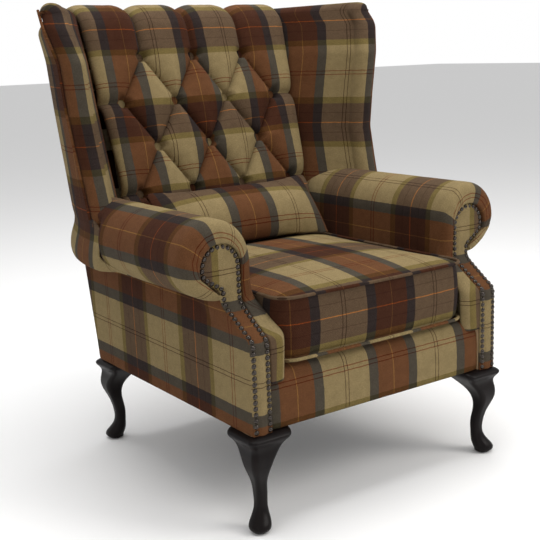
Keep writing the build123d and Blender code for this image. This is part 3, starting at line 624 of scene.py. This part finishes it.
def armPoint(s, t):
    distance = between(rollIn - wallRun, rollEnd, s)
    x, z, angle = rollSection(distance)
    wallX = x
    if distance < rollIn:
        x -= shoulderAt(z, 0)
    rimX, rimZ = facingRim(distance, x, z, angle)
    gap = max(8.0, hypot(rimX - x, rimZ - z))
    points, turn = frontProfile(gap)
    frontY = armFrontAt(z)
    index = round(t * (frontRows - 1 + bodyRows))
    if index < frontRows - 1:
        share, deep = points[index]
        steps = zip(points[index:], points[index + 1:])
        run = sum(hypot((p[0] - q[0]) * gap, p[1] - q[1]) for p, q in steps)
        x, z = between(x, rimX, share), between(z, rimZ, share)
        gather = 0.0
        if distance > rollIn * 0.8:
            middle = sin(pi * min(1.0, max(0.0, 1 - share)))
            gather = roll["gather"] * sin(distance / 5.2) * middle * smooth(0.05, 0.5, share)
        return x, frontY + deep + gather, z, frontY + turn - run, distance
    share = (index - frontRows + 1) / bodyRows
    y = between(frontY + turn, roll["rear"], share)
    ripple = 0.8 * noise.noise(Vector((x / 60, y / 45, z / 60)))
    if distance > rollIn:
        x += ripple * sin(angle)
        z += ripple * cos(angle)
    else:
        x = wallX - shoulderAt(z, y)
        z = max(z, roll["foot"] + 23.0 * smooth(4, 26, y))
    if y > roll["endStart"] and z > 440:
        limit = wingInner(max(z, 574.0), max(y, 478.0)) - 1.5
        turn = min(1.0, (y - roll["endStart"]) / roll["endRound"])
        if x > limit:
            x = between(limit, x, sqrt(max(0.0, 1 - turn * turn)))
    return x, y, z, y, distance


def armPlace(s, t):
    x, y, z, *_ = armPoint(s, t)
    return at(x, y, z)


def armCloth(s, t, sMiddle, tMiddle):
    *_, run, distance = armPoint(s, t)
    return distance + roll["clothAcross"], run + roll["clothAlong"]


armGrid = clothGrid(roll["columns"], frontRows - 1 + bodyRows, armPlace, armCloth, (-1, -0.5, 0.5))
bothSides("ArmPad", armGrid, ["arm_pad"])
print("arm pads")


# outside arms
side = {
    "step": 374.0, "top": 455.0, "front": 1.2, "rear": 11.5, "proud": 1.6,
    "clothUp": -252.0, "clothAlong": 3.0,
}


def sideHeight(t):
    # rows of cloth lie closer where the arm front steps back
    if t < 0.4:
        return between(base["hem"], side["step"], t / 0.4)
    return between(side["step"], side["top"], (t - 0.4) / 0.6)


def outsideArmPlace(s, t):
    z = sideHeight(t)
    front = stepAt(z) + side["front"]
    y = between(front, rearAt(z) - side["rear"], s)
    slack = 1.8 * sin(pi * s) * sin(pi * t) + 0.7 * noise.noise(Vector((y / 90, z / 70, 3.1)))
    x = sideAt(y) + max(0.0, slack) + side["proud"]
    overPost = facingEdges(z)[1] + side["proud"]
    x += max(0.0, overPost - x) * (1 - smooth(56, 110, y - front))
    return at(x - 1.2 * (1 - smooth(0.0, 5.0, y - front)), y, z)


def outsideArmCloth(s, t, sMiddle, tMiddle):
    z = sideHeight(t)
    y = between(stepAt(z) + side["front"], rearAt(z) - side["rear"], s)
    return z + side["clothUp"], y + side["clothAlong"]


sideGrid = clothGrid(70, 44, outsideArmPlace, outsideArmCloth, (1, 0, 0))
bothSides("OutsideArm", sideGrid, ["outside_arm"], thickness=0.005)
print("outside arms")


# wings
wing = {
    "foot": 556.0, "shoulder": 1000.0, "dome": 26.0, "tip": 66.0,  # the pad's foot and rounded top
    "rollSize": 27.5, "arcSteps": 14, "innerSteps": 24, "pull": 19.0, "tuckIn": 16.0, "tuckBack": 46.0,
    "proud": 4.0, "panelFoot": 461.0, "panelTop": 1000.0, "swell": 20.0, "tail": 120.0,
}
wingLip = [  # height, and how far the outside wing's foot stands out at the rear
    (461.0, 4.0), (462.0, 9.0), (465.0, 15.0), (470.0, 20.0), (478.0, 23.5), (487.0, 24.5),
    (500.0, 22.0), (512.0, 17.5), (523.0, 12.0), (535.0, 6.0), (552.0, 1.5), (580.0, 0.0),
]
creaseLow, creaseHigh = (259.4, 628.0, 594.0), (286.0, 721.7, 1024.0)


def creaseAt(z):
    share = min(1.0, max(0.0, (z - creaseLow[2]) / (creaseHigh[2] - creaseLow[2])))
    return between(creaseLow[0], creaseHigh[0], share) + 1.0, creaseLow[1] + 0.218 * (z - creaseLow[2])


def wingPath(z):
    # plan path from the outer seam round the rolled front edge and in to the crease
    reach, setBack = readOff(wingEdge, z)
    size = wing["rollSize"]
    middleX, middleY = reach - size + 0.3, setBack + 11
    points = []
    for i in range(wing["arcSteps"] + 1):
        angle = radians(between(2, 205, i / wing["arcSteps"]))
        points.append(Vector((middleX + size * cos(angle), middleY - size * sin(angle))))
    start = points[-1]
    x, y = creaseAt(z)
    end = Vector((x - wing["tuckIn"], y + wing["tuckBack"]))
    away = (end - start).normalized()
    pull = (start + end) / 2 + Vector((-away.y, away.x)) * wing["pull"]
    for i in range(1, wing["innerSteps"] + 1):
        share = i / wing["innerSteps"]
        points.append(start * (1 - share) ** 2 + pull * 2 * share * (1 - share) + end * share ** 2)
    return points


def wingPoint(s, t):
    # up the pad, then over its top edge in a half round to the outside
    straight = wing["shoulder"] - wing["foot"]
    height = t * (straight + wing["dome"] * pi)
    z = wing["foot"] + min(height, straight)
    points = wingPath(z)
    spot = s * (len(points) - 1)
    index = min(int(spot), len(points) - 2)
    point = points[index].lerp(points[index + 1], spot - index)
    run = sum((b - a).length for a, b in zip(points, points[1:index + 1]))
    run += (points[index + 1] - points[index]).length * (spot - index)
    turns = wing["arcSteps"]
    arc = sum((b - a).length for a, b in zip(points[:turns], points[1:turns + 1]))
    if height > straight:
        turn = (height - straight) / wing["dome"]
        inShare = max(0.0, (spot - turns) / wing["innerSteps"])
        reach, setBack = readOff(wingEdge, z)
        outer = Vector((
            between(reach, base["rearHalf"], inShare) + wing["proud"],
            between(setBack + 8, rearAt(z) - 11, inShare),
        ))
        half = (outer - point) / 2
        size = wing["rollSize"]
        tip = Vector((reach - size * 0.35, setBack + 11 - size * 0.8))
        near = 1 - min(1.0, (point - tip).length / wing["tip"])
        rise = min((wing["dome"] - 7 * inShare) * sqrt(1 - near * near), half.length * 1.15)
        point = point + half * (1 - cos(turn))
        z += rise * sin(turn)
    return point.x, point.y, z, run - arc, wing["foot"] + height


def wingPlace(s, t):
    x, y, z, *_ = wingPoint(s, t)
    return at(x, y, z)


def bandUp(height):
    # the wings and the outside back have the check's bands at the same heights
    return (height - 852) * 1.06 + 65


def wingCloth(s, t, sMiddle, tMiddle):
    *_, run, height = wingPoint(s, t)
    return run + 45, bandUp(height)


bothSides("WingPad", clothGrid(76, 72, wingPlace, wingCloth, (-1, -1, 0.2)), ["wing_pad"])


def outsideWingPoint(s, t):
    z = between(wing["panelFoot"], wing["panelTop"], t ** 1.3)
    reach, setBack = readOff(wingEdge, z)
    front = setBack + 8 - 34 * (1 - smooth(552, 582, z))
    rear = rearAt(z) - 11.5
    tail = wing["tail"] * (1 - smooth(wing["panelFoot"] - 6, 502, z))
    y = between(front - tail, rear, s)
    share = max(0.0, (y - front) / (rear - front))
    x = reach + (base["rearHalf"] - reach) * share + readOff(wingLip, z)[0] * between(0.35, 1.0, share)
    x += wing["swell"] * 4 * share * (1 - share) * (1 - smooth(960, 1000, z))
    if y < front:
        # the foot runs on forwards as a tail under the arm roll
        skin = roll["x"] + sqrt(roll["radius"] ** 2 - (roll["z"] - z) ** 2) + 2.2
        x = between(skin, x, smooth(front - 36, front, y))
    if z < 470:
        x = min(x, between(sideAt(y) - 3, x, smooth(461, 466, z)))
    slack = 0.7 * noise.noise(Vector((y / 80, z / 80, 7.7))) * smooth(front, front + 30, y)
    return x + slack - 3.0 * smooth(965, 1000, z), y, z


def outsideWingPlace(s, t):
    return at(*outsideWingPoint(s, t))


def outsideWingCloth(s, t, sMiddle, tMiddle):
    x, y, z = outsideWingPoint(s, t)
    return 184 + (535 - y) * 1.05, (z - 590) * 1.04 + 201


panelGrid = clothGrid(44, 72, outsideWingPlace, outsideWingCloth, (1, 0, 0))
bothSides("OutsideWing", panelGrid, ["outside_wing"], thickness=0.005)
print("wings")


# the tufted inside back
back = {
    "slope": 0.305, "planeY": 587.0, "planeZ": 603.0, "foot": 330.0, "bend": 470.0,
    "topStart": 972.0, "top": 1024.0, "pitch": 71.0, "rowPitch": 107.7, "rows": 5, "rowsBelow": 1,
    "pit": 37.0, "pitMouth": 38.0, "pleat": 24.0, "pleatHalf": 46.0, "swell": 6.0, "creaseDip": 17.0,
    "margin": 225.0, "edge": 286.0, "columns": 150, "cells": 210,
}
slant = sqrt(1 + back["slope"] ** 2)


def circleThrough(a, b, c):
    # the middle and the radius of the circle through three points
    d = 2 * (a[0] * (b[1] - c[1]) + b[0] * (c[1] - a[1]) + c[0] * (a[1] - b[1]))
    far = [point[0] ** 2 + point[1] ** 2 for point in (a, b, c)]
    x = (far[0] * (b[1] - c[1]) + far[1] * (c[1] - a[1]) + far[2] * (a[1] - b[1])) / d
    y = (far[0] * (c[0] - b[0]) + far[1] * (a[0] - c[0]) + far[2] * (b[0] - a[0])) / d
    return x, y, hypot(a[0] - x, a[1] - y)


def planeY(z):
    return back["planeY"] + back["slope"] * (z - back["planeZ"])


rearTop = (rearAt(986) - 12.3, 986.0)
frontTop = (planeY(back["topStart"]), back["topStart"])
topX, topZ, topR = circleThrough(frontTop, ((frontTop[0] + rearTop[0]) / 2, back["top"]), rearTop)
startAngle = atan2(frontTop[1] - topZ, frontTop[0] - topX)
endAngle = atan2(rearTop[1] - topZ, rearTop[0] - topX)
footRun = -(back["planeZ"] - back["bend"]) * slant - (back["bend"] - back["foot"])
topRun = (back["topStart"] - back["planeZ"]) * slant
endRun = topRun + topR * (startAngle - endAngle)


def backLine(run):
    # (depth, height, outward depth, outward height) along the front, over the top and behind
    if run > topRun:
        angle = startAngle - (run - topRun) / topR
        return topX + topR * cos(angle), topZ + topR * sin(angle), cos(angle), sin(angle)
    z = back["planeZ"] + run / slant
    if z >= back["bend"]:
        return planeY(z), z, -1 / slant, back["slope"] / slant
    lower = -(back["planeZ"] - back["bend"]) * slant - run
    return planeY(back["bend"]), back["bend"] - lower, -1.0, 0.0


buttonRows = []
for i in range(back["rows"]):
    up = (back["rows"] - 1 - back["rowsBelow"] - i) * back["rowPitch"]
    count = 3 if i % 2 == 0 else 4
    buttonRows.append([((j - (count - 1) / 2) * 2 * back["pitch"], up) for j in range(count)])
buttonSpots = [Vector(spot) for row in buttonRows for spot in row]
folds = []
for upper, lower in zip(buttonRows, buttonRows[1:]):
    for a in upper:
        folds += [(a, b) for b in lower if abs(a[0] - b[0]) < 1.5 * back["pitch"]]
folds += [((x, up), (x, endRun + 40)) for x, up in buttonRows[0]]
folds += [((x, up), (x, up - 70)) for x, up in buttonRows[-1]]
for row in buttonRows[1::2]:
    folds += [((x, up), (x + (90 if x > 0 else -90), up)) for x, up in (row[0], row[-1])]
foldLines = [(Vector(a), Vector(b)) for a, b in folds]


def dip(share):
    # round-shouldered valley: 1 at its line, 0 at its edge
    if share >= 1:
        return 0.0
    return 1 - sqrt(max(0.0, 1 - (1 - share) ** 2))


def foldDistance(point):
    nearest = 1e9
    for a, b in foldLines:
        line = b - a
        share = min(1.0, max(0.0, (point - a).dot(line) / line.length_squared))
        nearest = min(nearest, (point - a - line * share).length)
    return nearest


def backHalf(z):
    share = min(1.0, max(0.0, (z - creaseLow[2]) / (creaseHigh[2] - creaseLow[2])))
    return between(creaseLow[0], creaseHigh[0], share) - 0.5


def backSpot(s, t):
    # across and along the cloth; only the margin beside the wings narrows downwards
    run = between(footRun, endRun, t)
    y, z, outY, outZ = backLine(run)
    x = (2 * s - 1) * back["edge"]
    if abs(x) > back["margin"]:
        over = (abs(x) - back["margin"]) / (back["edge"] - back["margin"])
        x = (back["margin"] + over * (backHalf(z) + 1.5 - back["margin"])) * (1 if x > 0 else -1)
    return x, run, y, z, outY, outZ


def backPlace(s, t):
    x, run, y, z, outY, outZ = backSpot(s, t)
    spot = Vector((x, run))
    fade = smooth(footRun + 60, -150, run)
    deep = back["pleat"] * dip(foldDistance(spot) / back["pleatHalf"]) * fade
    button = min((spot - place).length for place in buttonSpots)
    deep = max(deep, back["pit"] * dip(max(0.0, button - 9.5) / (back["pitMouth"] - 9.5)))
    crease = backHalf(z) + 1.5 - abs(x)
    deep += back["creaseDip"] * dip(crease / 26.0)
    ripple = 0.7 * noise.noise(Vector((x / 22, run / 22, 1.3)))
    out = back["swell"] * fade - deep + ripple
    return at(x, y + outY * out, z + outZ * out)


def cellOf(x, run):
    # the middle of the pillow that a spot belongs to
    pitch, rowPitch = back["pitch"], back["rowPitch"]
    top, low = buttonRows[0][0][1], buttonRows[-1][0][1]
    if run > top or run < low:
        centre = (2 * round((x - pitch) / (2 * pitch)) + 1) * pitch
        return max(-3 * pitch, min(3 * pitch, centre)), top if run > top else low
    best = None
    for row in range(-2, 5):
        shift = pitch if row % 2 else 0.0
        centre = round((x - shift) / (2 * pitch)) * 2 * pitch + shift
        far = abs(x - centre) / pitch + abs(run - row * rowPitch) / rowPitch
        if best is None or far < best[0]:
            best = (far, centre, row * rowPitch)
    far, centre, up = best
    if abs(centre) > 3.5 * pitch:
        centre = 3 * pitch * (1 if x > 0 else -1)
        up += rowPitch if run > up else -rowPitch
    return centre, up


def backCloth(s, t, sMiddle, tMiddle):
    # each pillow keeps the cloth's own scale, and the folds between swallow the rest
    x, run, *_ = backSpot(s, t)
    centreX, centreRun = cellOf(*backSpot(sMiddle, tMiddle)[:2])
    across = 184 + (centreX + 8) * 1.34 + (x - centreX) * 1.08
    return across, 203 + (centreRun - 373) * 1.30 + (run - centreRun) * 1.06


def foldCuts():
    # straight lines over the flat grid, so that its edges follow the folds
    cuts = []
    width, length = 2 * back["edge"], endRun - footRun
    rows = [(x, up) for row in buttonRows for x, up in row]
    seen = set()
    for x, up in rows:
        for normal in (
            Vector((back["rowPitch"], back["pitch"], 0)), Vector((back["rowPitch"], -back["pitch"], 0)),
            Vector((1, 0, 0)), Vector((0, 1, 0)),
        ):
            key = (round(normal.x), round(normal.y), round(normal.x * x + normal.y * up))
            if key not in seen:
                seen.add(key)
                place = Vector((x / width, (up - footRun) / length - 0.5, 0))
                cuts.append((place, Vector((normal.x * width, normal.y * length, 0)).normalized()))
    return cuts


fineness = 1.0
backSize = int(back["columns"] * fineness), int(back["cells"] * fineness)
backGrid = clothGrid(*backSize, backPlace, backCloth, (0, -1, 0.3), foldCuts())
finishPiece("insideBack", backGrid, ["inside_back"], levels=0)
print("inside back")


# outside back and front border
outsideBackTop = 1000.0


def outsideBackPlace(s, t):
    z = between(base["hem"], outsideBackTop, t)
    x = between(-base["rearHalf"], base["rearHalf"], s)
    slack = 2.0 * sin(pi * s) * sin(pi * t) + 0.8 * noise.noise(Vector((x / 90, z / 90, 5.0)))
    edge = 6.0 * (1 - smooth(0.0, 8.0, base["rearHalf"] - abs(x)))
    return at(x, rearAt(z) + slack - edge, z)


def outsideBackCloth(s, t, sMiddle, tMiddle):
    z = between(base["hem"], outsideBackTop, t)
    return between(-base["rearHalf"], base["rearHalf"], s) + 157, bandUp(z)


outsideBackGrid = clothGrid(40, 50, outsideBackPlace, outsideBackCloth, (0, 1, 0))
finishPiece("outsideBack", outsideBackGrid, ["outside_back"], thickness=0.006)

border = {
    "half": 283.0, "pinch": 5.0, "clothAcross": 155.0, "clothUp": 132.0,
    "line": [  # depth and height up the padded front, then back over the rail
        (14.0, 206.0), (9.0, 203.4), (5.0, 204.5), (3.4, 210.0), (2.8, 235.0), (3.0, 262.0), (5.5, 286.0),
        (9.5, 301.0), (14.5, 311.0), (21.0, 317.5), (30.0, 320.6), (42.0, 321.6), (58.0, 321.8),
    ],
}
borderPoints = [Vector(point) for point in border["line"]]
borderRun = [0.0]
for a, b in zip(borderPoints, borderPoints[1:]):
    borderRun.append(borderRun[-1] + (b - a).length)


def borderSpot(t):
    run = t * borderRun[-1]
    index = min(bisect_right(borderRun, run) - 1, len(borderPoints) - 2)
    share = (run - borderRun[index]) / (borderRun[index + 1] - borderRun[index])
    return borderPoints[index].lerp(borderPoints[index + 1], share), run


def borderPlace(s, t):
    point, run = borderSpot(t)
    x = between(-border["half"], border["half"], s)
    pinch = border["pinch"] * (1 - smooth(0.0, 22.0, border["half"] - abs(x)))
    ripple = 0.9 * noise.noise(Vector((x / 55, point.y / 40, 2.2))) * smooth(206, 230, point.y)
    return at(x, point.x + pinch + ripple, point.y - pinch * 0.25)


def borderCloth(s, t, sMiddle, tMiddle):
    point, run = borderSpot(t)
    across = between(-border["half"], border["half"], s)
    return across + border["clothAcross"], border["clothUp"] - (run - 28)


borderGrid = clothGrid(90, 36, borderPlace, borderCloth, (0, -1, 0.2))
finishPiece("frontBorder", borderGrid, ["front_border"], thickness=0.005)
print("outside back and front border")


# loose cushions
def copyNode(name):
    # a copy of the CAD solid's mesh, merged into one closed surface
    bm = bmesh.new()
    bm.from_mesh(nodes[name].data)
    bmesh.ops.remove_doubles(bm, verts=bm.verts, dist=0.00002)
    return bm


def swollen(name, bm, held, voxel, pressure, shrink, cap, frames=20):
    # cloth under pressure, with the seams held; the swelling is capped and kept in the mesh
    centre = sum((vert.co for vert in bm.verts), Vector()) / len(bm.verts)
    bmesh.ops.scale(bm, vec=shrink, verts=bm.verts, space=Matrix.Translation(-centre))
    mesh = bpy.data.meshes.new(name)
    bm.to_mesh(mesh)
    bm.free()
    piece = bpy.data.objects.new(name, mesh)
    bpy.context.scene.collection.objects.link(piece)
    coarse = piece.modifiers.new("remesh", "REMESH")
    coarse.mode = "VOXEL"
    coarse.voxel_size = voxel
    depsgraph = bpy.context.evaluated_depsgraph_get()
    remeshed = bpy.data.meshes.new_from_object(piece.evaluated_get(depsgraph))
    piece.modifiers.clear()
    piece.data = remeshed
    start = [vert.co.copy() for vert in remeshed.vertices]
    pins = piece.vertex_groups.new(name="held")
    for vert in remeshed.vertices:
        weight = held(vert.co)
        if weight > 0:
            pins.add([vert.index], weight, "REPLACE")
    soft = piece.modifiers.new("cloth", "CLOTH")
    soft.settings.use_pressure = True
    soft.settings.uniform_pressure_force = pressure
    soft.settings.effector_weights.gravity = 0.0
    soft.settings.vertex_group_mass = "held"
    soft.settings.tension_stiffness = 12
    soft.settings.compression_stiffness = 12
    soft.settings.bending_stiffness = 0.6
    soft.point_cache.frame_start, soft.point_cache.frame_end = 1, frames
    scene = bpy.context.scene
    for step in range(1, frames + 1):
        scene.frame_set(step)
    depsgraph = bpy.context.evaluated_depsgraph_get()
    done = [vert.co.copy() for vert in piece.evaluated_get(depsgraph).data.vertices]
    piece.modifiers.clear()
    piece.vertex_groups.clear()
    scene.frame_set(1)
    for vert, before, after in zip(remeshed.vertices, start, done):
        move = after - before
        if move.length > cap:
            move *= cap / move.length
        vert.co = before + move
    bm = bmesh.new()
    bm.from_mesh(piece.data)
    bpy.data.objects.remove(piece)
    return bm


def soften(bm, factor):
    bmesh.ops.smooth_vert(
        bm, verts=bm.verts, factor=factor, use_axis_x=True, use_axis_y=True, use_axis_z=True,
    )
    bm.normal_update()


def cushionUv(bm, clothOf):
    layer = bm.loops.layers.uv.new("cloth")
    for face in bm.faces:
        normal, middle = face.normal, face.calc_center_median()
        for loop in face.loops:
            u, v = clothOf(loop.vert.co / mm - Vector((0, armFrontY / mm, 0)), normal, middle / mm)
            loop[layer].uv = (u * mm, v * mm)


seat = {
    "lowSeam": 331.3, "highSeam": 455.3, "line": 402.0, "half": 246.0, "front": 14.0, "rear": 537.0,
    "corner": 42.0, "drawn": 14.0, "clothAcross": 157.0,
}
seatSwelling = {"voxel": 0.006, "pressure": 5.0, "shrink": (0.994, 0.994, 0.985), "cap": 0.011}


def seatHeld(co):
    z = co.z / mm
    seam = min(abs(z - seat["lowSeam"]), abs(z - seat["highSeam"]))
    x, y = abs(co.x) / mm, (co.y - armFrontY) / mm
    rim = min(seat["half"] - x, y - seat["front"], seat["rear"] - y)
    zipped = y > 520 and abs(z - 393) < 22 and x < 225
    under = z < seat["lowSeam"] - 3
    if zipped or under or (seam < 4.5 and rim < 9):
        return 1.0
    return 0.0


def roundTheWall(x, y):
    # distance round the cushion's wall from the middle of its front, by the place of a point on it
    across, corner = abs(x), seat["corner"]
    straight = seat["half"] - corner
    if y > seat["rear"] - corner or (across <= straight and y < seat["front"] + corner):
        far = across
    elif y < seat["front"] + corner:
        far = straight + corner * atan2(across - straight, seat["front"] + corner - y)
    else:
        far = straight + corner * pi / 2 + y - seat["front"] - corner
    return far if x > 0 else -far


def seatCloth(co, normal, middle):
    if middle.z > seat["highSeam"] - 1 or abs(normal.z) > 0.75:
        return co.x + seat["clothAcross"], co.y - 42
    return roundTheWall(co.x, co.y) + seat["clothAcross"], co.z - seat["line"] + 203


seatMesh = swollen("seatDraft", copyNode("seat_cushion"), seatHeld, **seatSwelling)
for vert in seatMesh.verts:
    # the seams are drawn in a little under their cords
    z = vert.co.z / mm
    for seam in (seat["lowSeam"], seat["highSeam"]):
        near = 1 - min(1.0, abs(z - seam) / 7.0)
        x, y = abs(vert.co.x) / mm, (vert.co.y - armFrontY) / mm
        rim = min(seat["half"] - x, y - seat["front"], seat["rear"] - y)
        if near > 0 and rim < seat["drawn"]:
            pucker = mm * near * (1.2 + 0.6 * sin((vert.co.x + vert.co.y) * 260))
            if x > seat["half"] - seat["drawn"]:
                vert.co.x -= pucker if vert.co.x > 0 else -pucker
            if y < seat["front"] + seat["drawn"]:
                vert.co.y += pucker
            elif y > seat["rear"] - seat["drawn"]:
                vert.co.y -= pucker
soften(seatMesh, 0.4)
cushionUv(seatMesh, seatCloth)
finishPiece("seatCushion", seatMesh, ["seat_cushion"], thickness=0, body="loose_seat", fill=0.85)
print("seat cushion")

lumbar = {"y": 511.0, "z": 536.5, "lean": radians(41), "seamEnd": 221.0, "seamLow": 78.0}
lumbarSwelling = {"voxel": 0.005, "pressure": 4.0, "shrink": (0.985, 0.97, 0.97), "cap": 0.012}
lumbarTurn = Matrix.Rotation(lumbar["lean"], 3, "X")


def lumbarLocal(point):
    # (across, thickness, height) in the cushion's own directions, from millimetres
    return lumbarTurn @ (point - Vector((0, lumbar["y"], lumbar["z"])))


def lumbarHeld(co):
    point = lumbarLocal(co / mm - Vector((0, armFrontY / mm, 0)))
    seam = abs(point.y) < 2.0 and abs(point.z) > lumbar["seamLow"]
    return 1.0 if seam or abs(point.x) > lumbar["seamEnd"] else 0.0


def lumbarCloth(co, normal, middle):
    point = lumbarLocal(co)
    return point.x + 180, point.z + 113


lumbarMesh = swollen("lumbarDraft", copyNode("lumbar_cushion"), lumbarHeld, **lumbarSwelling)
soften(lumbarMesh, 0.3)
cushionUv(lumbarMesh, lumbarCloth)
finishPiece("lumbarCushion", lumbarMesh, ["lumbar_cushion"], thickness=0, body="loose_lumbar", fill=0.7)
print("lumbar cushion")


# floor, light and camera
studio = {
    "white": (0.94, 0.94, 0.94), "world": 0.62, "backdrop": 1.0, "aim": (0, 0, 0.5),
    "lamps": [  # name, place, width, power and colour
        ("key", (1.9, -2.6, 2.6), 1.6, 52, (1.0, 0.97, 0.93)),
        ("fill", (-2.8, -2.0, 1.6), 2.0, 6, (1.0, 0.94, 0.88)),
        ("top", (0, 0.2, 3.2), 2.4, 78, (1.0, 1.0, 1.0)),
    ],
}


def softLight(name, place, width, power, color):
    lamp = bpy.data.lights.new(name, "AREA")
    lamp.shape = "RECTANGLE"
    lamp.size = lamp.size_y = width
    lamp.energy = power
    lamp.color = color
    holder = bpy.data.objects.new(name, lamp)
    holder.location = place
    towards = Vector(studio["aim"]) - Vector(place)
    holder.rotation_euler = towards.to_track_quat("-Z", "Y").to_euler()
    bpy.context.scene.collection.objects.link(holder)
floorMesh = bmesh.new()
bmesh.ops.create_grid(floorMesh, x_segments=1, y_segments=1, size=30)
bmesh.ops.translate(floorMesh, vec=(0, 0, -0.0005), verts=floorMesh.verts)
floorData = bpy.data.meshes.new("studioFloor")
floorMesh.to_mesh(floorData)
floorMesh.free()
studioFloor = bpy.data.objects.new("studioFloor", floorData)
bpy.context.scene.collection.objects.link(studioFloor)
floorPaint = newMaterial("floorPaint", Roughness=0.9, Base_Color=(*studio["white"], 1))[0]
floorData.materials.append(floorPaint)

world = bpy.data.worlds.new("studio")
bpy.context.scene.world = world
world.use_nodes = True
air = world.node_tree
sky = air.nodes["Background"]
sky.inputs[0].default_value = (1.0, 1.0, 1.0, 1)
sky.inputs[1].default_value = studio["world"]
backdrop = air.nodes.new("ShaderNodeBackground")
backdrop.inputs[0].default_value = (1.0, 1.0, 1.0, 1)
backdrop.inputs[1].default_value = studio["backdrop"]
seen = air.nodes.new("ShaderNodeMixShader")
path = air.nodes.new("ShaderNodeLightPath")
air.links.new(path.outputs["Is Camera Ray"], seen.inputs[0])
air.links.new(sky.outputs[0], seen.inputs[1])
air.links.new(backdrop.outputs[0], seen.inputs[2])
air.links.new(seen.outputs[0], air.nodes["World Output"].inputs[0])
for lamp in studio["lamps"]:
    softLight(*lamp)

view = {
    "azimuth": -36.2, "elevation": 13.3, "roll": -1.9, "target": (0, 302.2, 388.5), "distance": 2314.5,
    "lens": 68.14, "sensor": 36.0, "shiftX": -0.0459, "shiftY": 0.0330,
}
azimuth, elevation, tilt = (radians(view[name]) for name in ("azimuth", "elevation", "roll"))
backwards = Vector((sin(azimuth) * cos(elevation), -cos(azimuth) * cos(elevation), sin(elevation)))
level = Vector((0, 0, 1)).cross(backwards).normalized()
upright = backwards.cross(level)
right = level * cos(tilt) + upright * sin(tilt)
up = upright * cos(tilt) - level * sin(tilt)
cameraData = bpy.data.cameras.new("camera")
cameraData.lens, cameraData.sensor_width = view["lens"], view["sensor"]
cameraData.shift_x, cameraData.shift_y = view["shiftX"], view["shiftY"]
camera = bpy.data.objects.new("camera", cameraData)
bpy.context.scene.collection.objects.link(camera)
eye = at(*view["target"]) + backwards * view["distance"] * mm
camera.matrix_world = Matrix.Translation(eye) @ Matrix((right, up, backwards)).transposed().to_4x4()
bpy.context.scene.camera = camera
bpy.context.scene.view_settings.view_transform = "Standard"
print("studio set")
